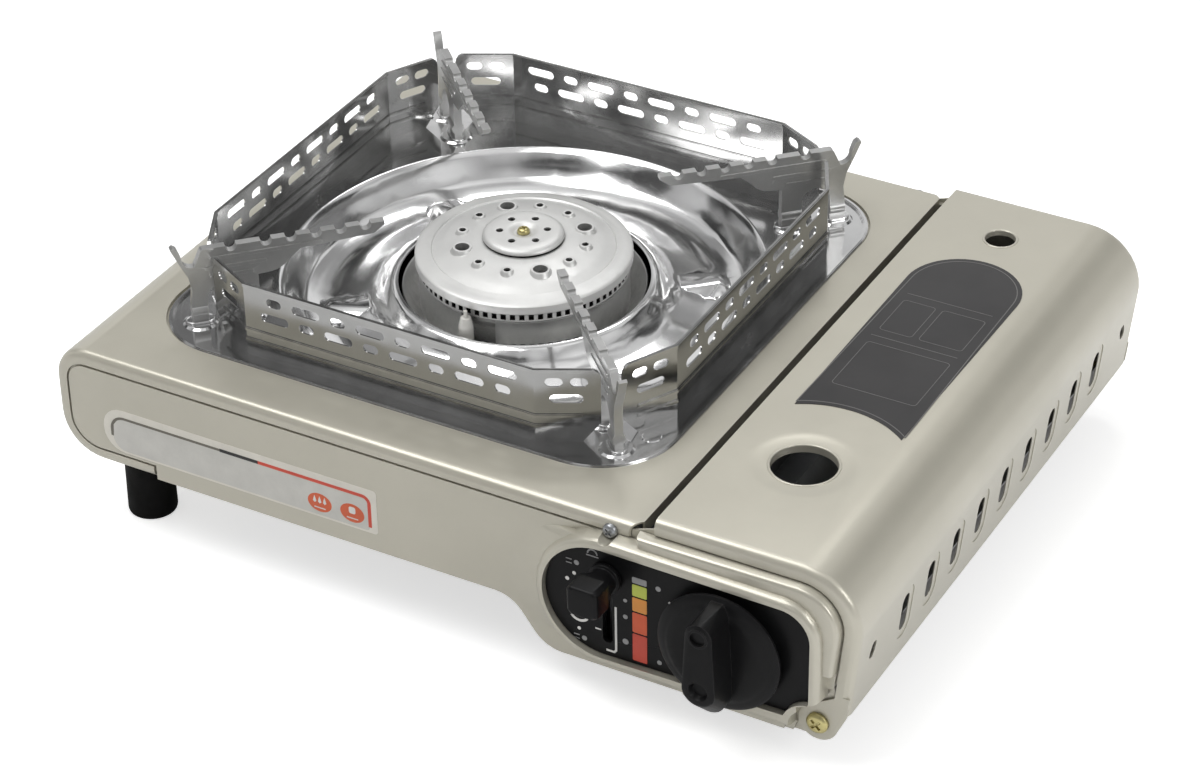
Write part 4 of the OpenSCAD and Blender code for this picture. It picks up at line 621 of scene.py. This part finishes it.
def dark_card(name, place, target, width, height, dark, light):
    """A card that only mirrors see, dark at its upper end, so that polished metal shows its shape."""
    sheet = bmesh.new()
    bmesh.ops.create_grid(sheet, x_segments=1, y_segments=1, size=0.5)
    mesh = bpy.data.meshes.new(name)
    sheet.to_mesh(mesh)
    mesh.transform(Matrix.Diagonal((width, height, 1, 1)))
    card = bpy.data.objects.new(name, mesh)
    bpy.context.scene.collection.objects.link(card)
    aim(card, place, Vector(target) - Vector(place))
    material = bpy.data.materials.new(name)
    material.use_nodes = True
    t = Tree(material.node_tree.nodes, material.node_tree.links)
    spot = t.add("ShaderNodeTexCoord").outputs["Generated"]
    up = t.add("ShaderNodeSeparateXYZ", {"Vector": spot}).outputs[1]
    spread = t.add("ShaderNodeMapping", {"Vector": spot, "Scale": (5.0, 2.2, 1.0)}).outputs[0]
    cloud = t.math("SUBTRACT", t.noise(spread, 1.0, 1.5, 0.4), 0.5)
    level = t.math("ADD", up, t.math("MULTIPLY", cloud, 0.6))
    shader = t.add("ShaderNodeEmission", {"Strength": t.span(level, 0.30, 0.62, light, dark)})
    t.put(shader.outputs[0], t.nodes["Material Output"].inputs["Surface"])
    mesh.materials.append(material)
    card.visible_camera = card.visible_diffuse = card.visible_shadow = card.visible_transmission = False


def white_where_seen(t, plain, seen, mirrored):
    """The level that lights the object, the level that camera and glass rays see, and the level in mirrors."""
    path = t.add("ShaderNodeLightPath").outputs
    direct = t.math("MAXIMUM", path["Is Camera Ray"], path["Is Transmission Ray"])
    indirect = t.add("ShaderNodeMix", {0: path["Is Glossy Ray"], 2: plain, 3: mirrored}).outputs[0]
    return t.add("ShaderNodeMix", {0: direct, 2: indirect, 3: seen}).outputs[0]


def make_room():
    """White all round: plain to the camera, softly uneven and darker behind the camera in mirrors."""
    world = bpy.data.worlds.new("studio")
    bpy.context.scene.world = world
    world.use_nodes = True
    t = Tree(world.node_tree.nodes, world.node_tree.links)
    sky = t.nodes["Background"]
    sky.inputs["Color"].default_value = (1, 1, 1, 1)
    way = t.add("ShaderNodeTexCoord").outputs["Generated"]
    uneven = t.span(t.noise(way, 2.6, 1.5, 0.5), 0.36, 0.64, 0.45, 1.0)
    ahead = t.add("ShaderNodeSeparateXYZ", {"Vector": way}).outputs[1]
    mirrored = t.math("MULTIPLY", uneven, t.span(ahead, -0.75, 0.05, 0.50, 1.0))
    t.put(white_where_seen(t, ROOM_LIGHT, 1.0, mirrored), sky.inputs["Strength"])


def make_floor():
    """A pale paper floor that keeps the shadow, and that mirrors see brighter beside the lid."""
    sheet = bmesh.new()
    bmesh.ops.create_grid(sheet, x_segments=2, y_segments=2, size=12)
    mesh = bpy.data.meshes.new("floor")
    sheet.to_mesh(mesh)
    floor = bpy.data.objects.new("floor", mesh)
    bpy.context.scene.collection.objects.link(floor)
    material = bpy.data.materials.new("floor_paper")
    material.use_nodes = True
    t = Tree(material.node_tree.nodes, material.node_tree.links)
    shader = t.nodes["Principled BSDF"]
    shader.inputs["Base Color"].default_value = (0.88, 0.88, 0.88, 1)
    shader.inputs["Roughness"].default_value = 0.9
    shader.inputs["Specular IOR Level"].default_value = 0.1
    shader.inputs["Emission Color"].default_value = (1, 1, 1, 1)
    place = t.add("ShaderNodeNewGeometry").outputs["Position"]
    across = t.add("ShaderNodeSeparateXYZ", {"Vector": place}).outputs[0]
    beside_lid = t.span(across, 0.10, 0.20, 0.0, 0.38)
    t.put(white_where_seen(t, 0.0, FLOOR_SEEN, beside_lid), shader.inputs["Emission Strength"])
    mesh.materials.append(material)


ROOM_LIGHT, FLOOR_SEEN = 0.33, 0.62
# Lamps: place, what they point at, width, height, watts
LAMPS = {
    "soft_box_top": ((-0.45, -0.35, 1.5), (0, 0, 0), 1.2, 0.9, 13.2),
    "soft_box_front": ((0.1, -1.6, 1.15), (0, 0, 0.05), 0.9, 0.6, 0.4),
    "soft_box_back": ((-0.40, 1.30, 1.85), (0.12, -0.12, 0.10), 0.7, 0.3, 4.5),
    "soft_box_side": ((1.5, -0.35, 0.9), (0, 0, 0.05), 0.5, 0.7, 6.0)}
# Cards: place, what they point at, width, height, darkest and lightest level
CARDS = {
    "card_back": ((-0.78, 1.37, 1.08), (0, 0, 0.08), 2.1, 1.0, 0.32, 0.92),
    "card_front": ((-0.90, -1.30, 1.02), (0, 0, 0.08), 1.1, 0.9, 0.08, 0.55),
    "card_right": ((0.86, 1.34, 1.02), (0, 0, 0.08), 0.9, 0.9, 0.05, 0.24),
    "card_camera": ((0.72, -1.28, 1.03), (0, 0, 0.08), 0.9, 0.6, 0.05, 0.40),
    "card_above": ((0.12, -1.00, 1.22), (-0.08, 0.10, 0.08), 0.75, 0.30, 0.06, 0.30),
    "card_pan": ((-1.00, 1.10, 1.06), (-0.12, -0.09, 0.08), 0.45, 0.35, 0.05, 0.22),
    "card_left": ((-1.75, 0.1, 0.75), (0, 0, 0.08), 1.1, 0.8, 0.05, 0.40)}


def make_studio():
    make_room()
    make_floor()
    for name, values in LAMPS.items():
        soft_box(name, *values)
    for name, values in CARDS.items():
        dark_card(name, *values)


make_camera()
make_studio()
bpy.context.scene.view_settings.view_transform = "Standard"
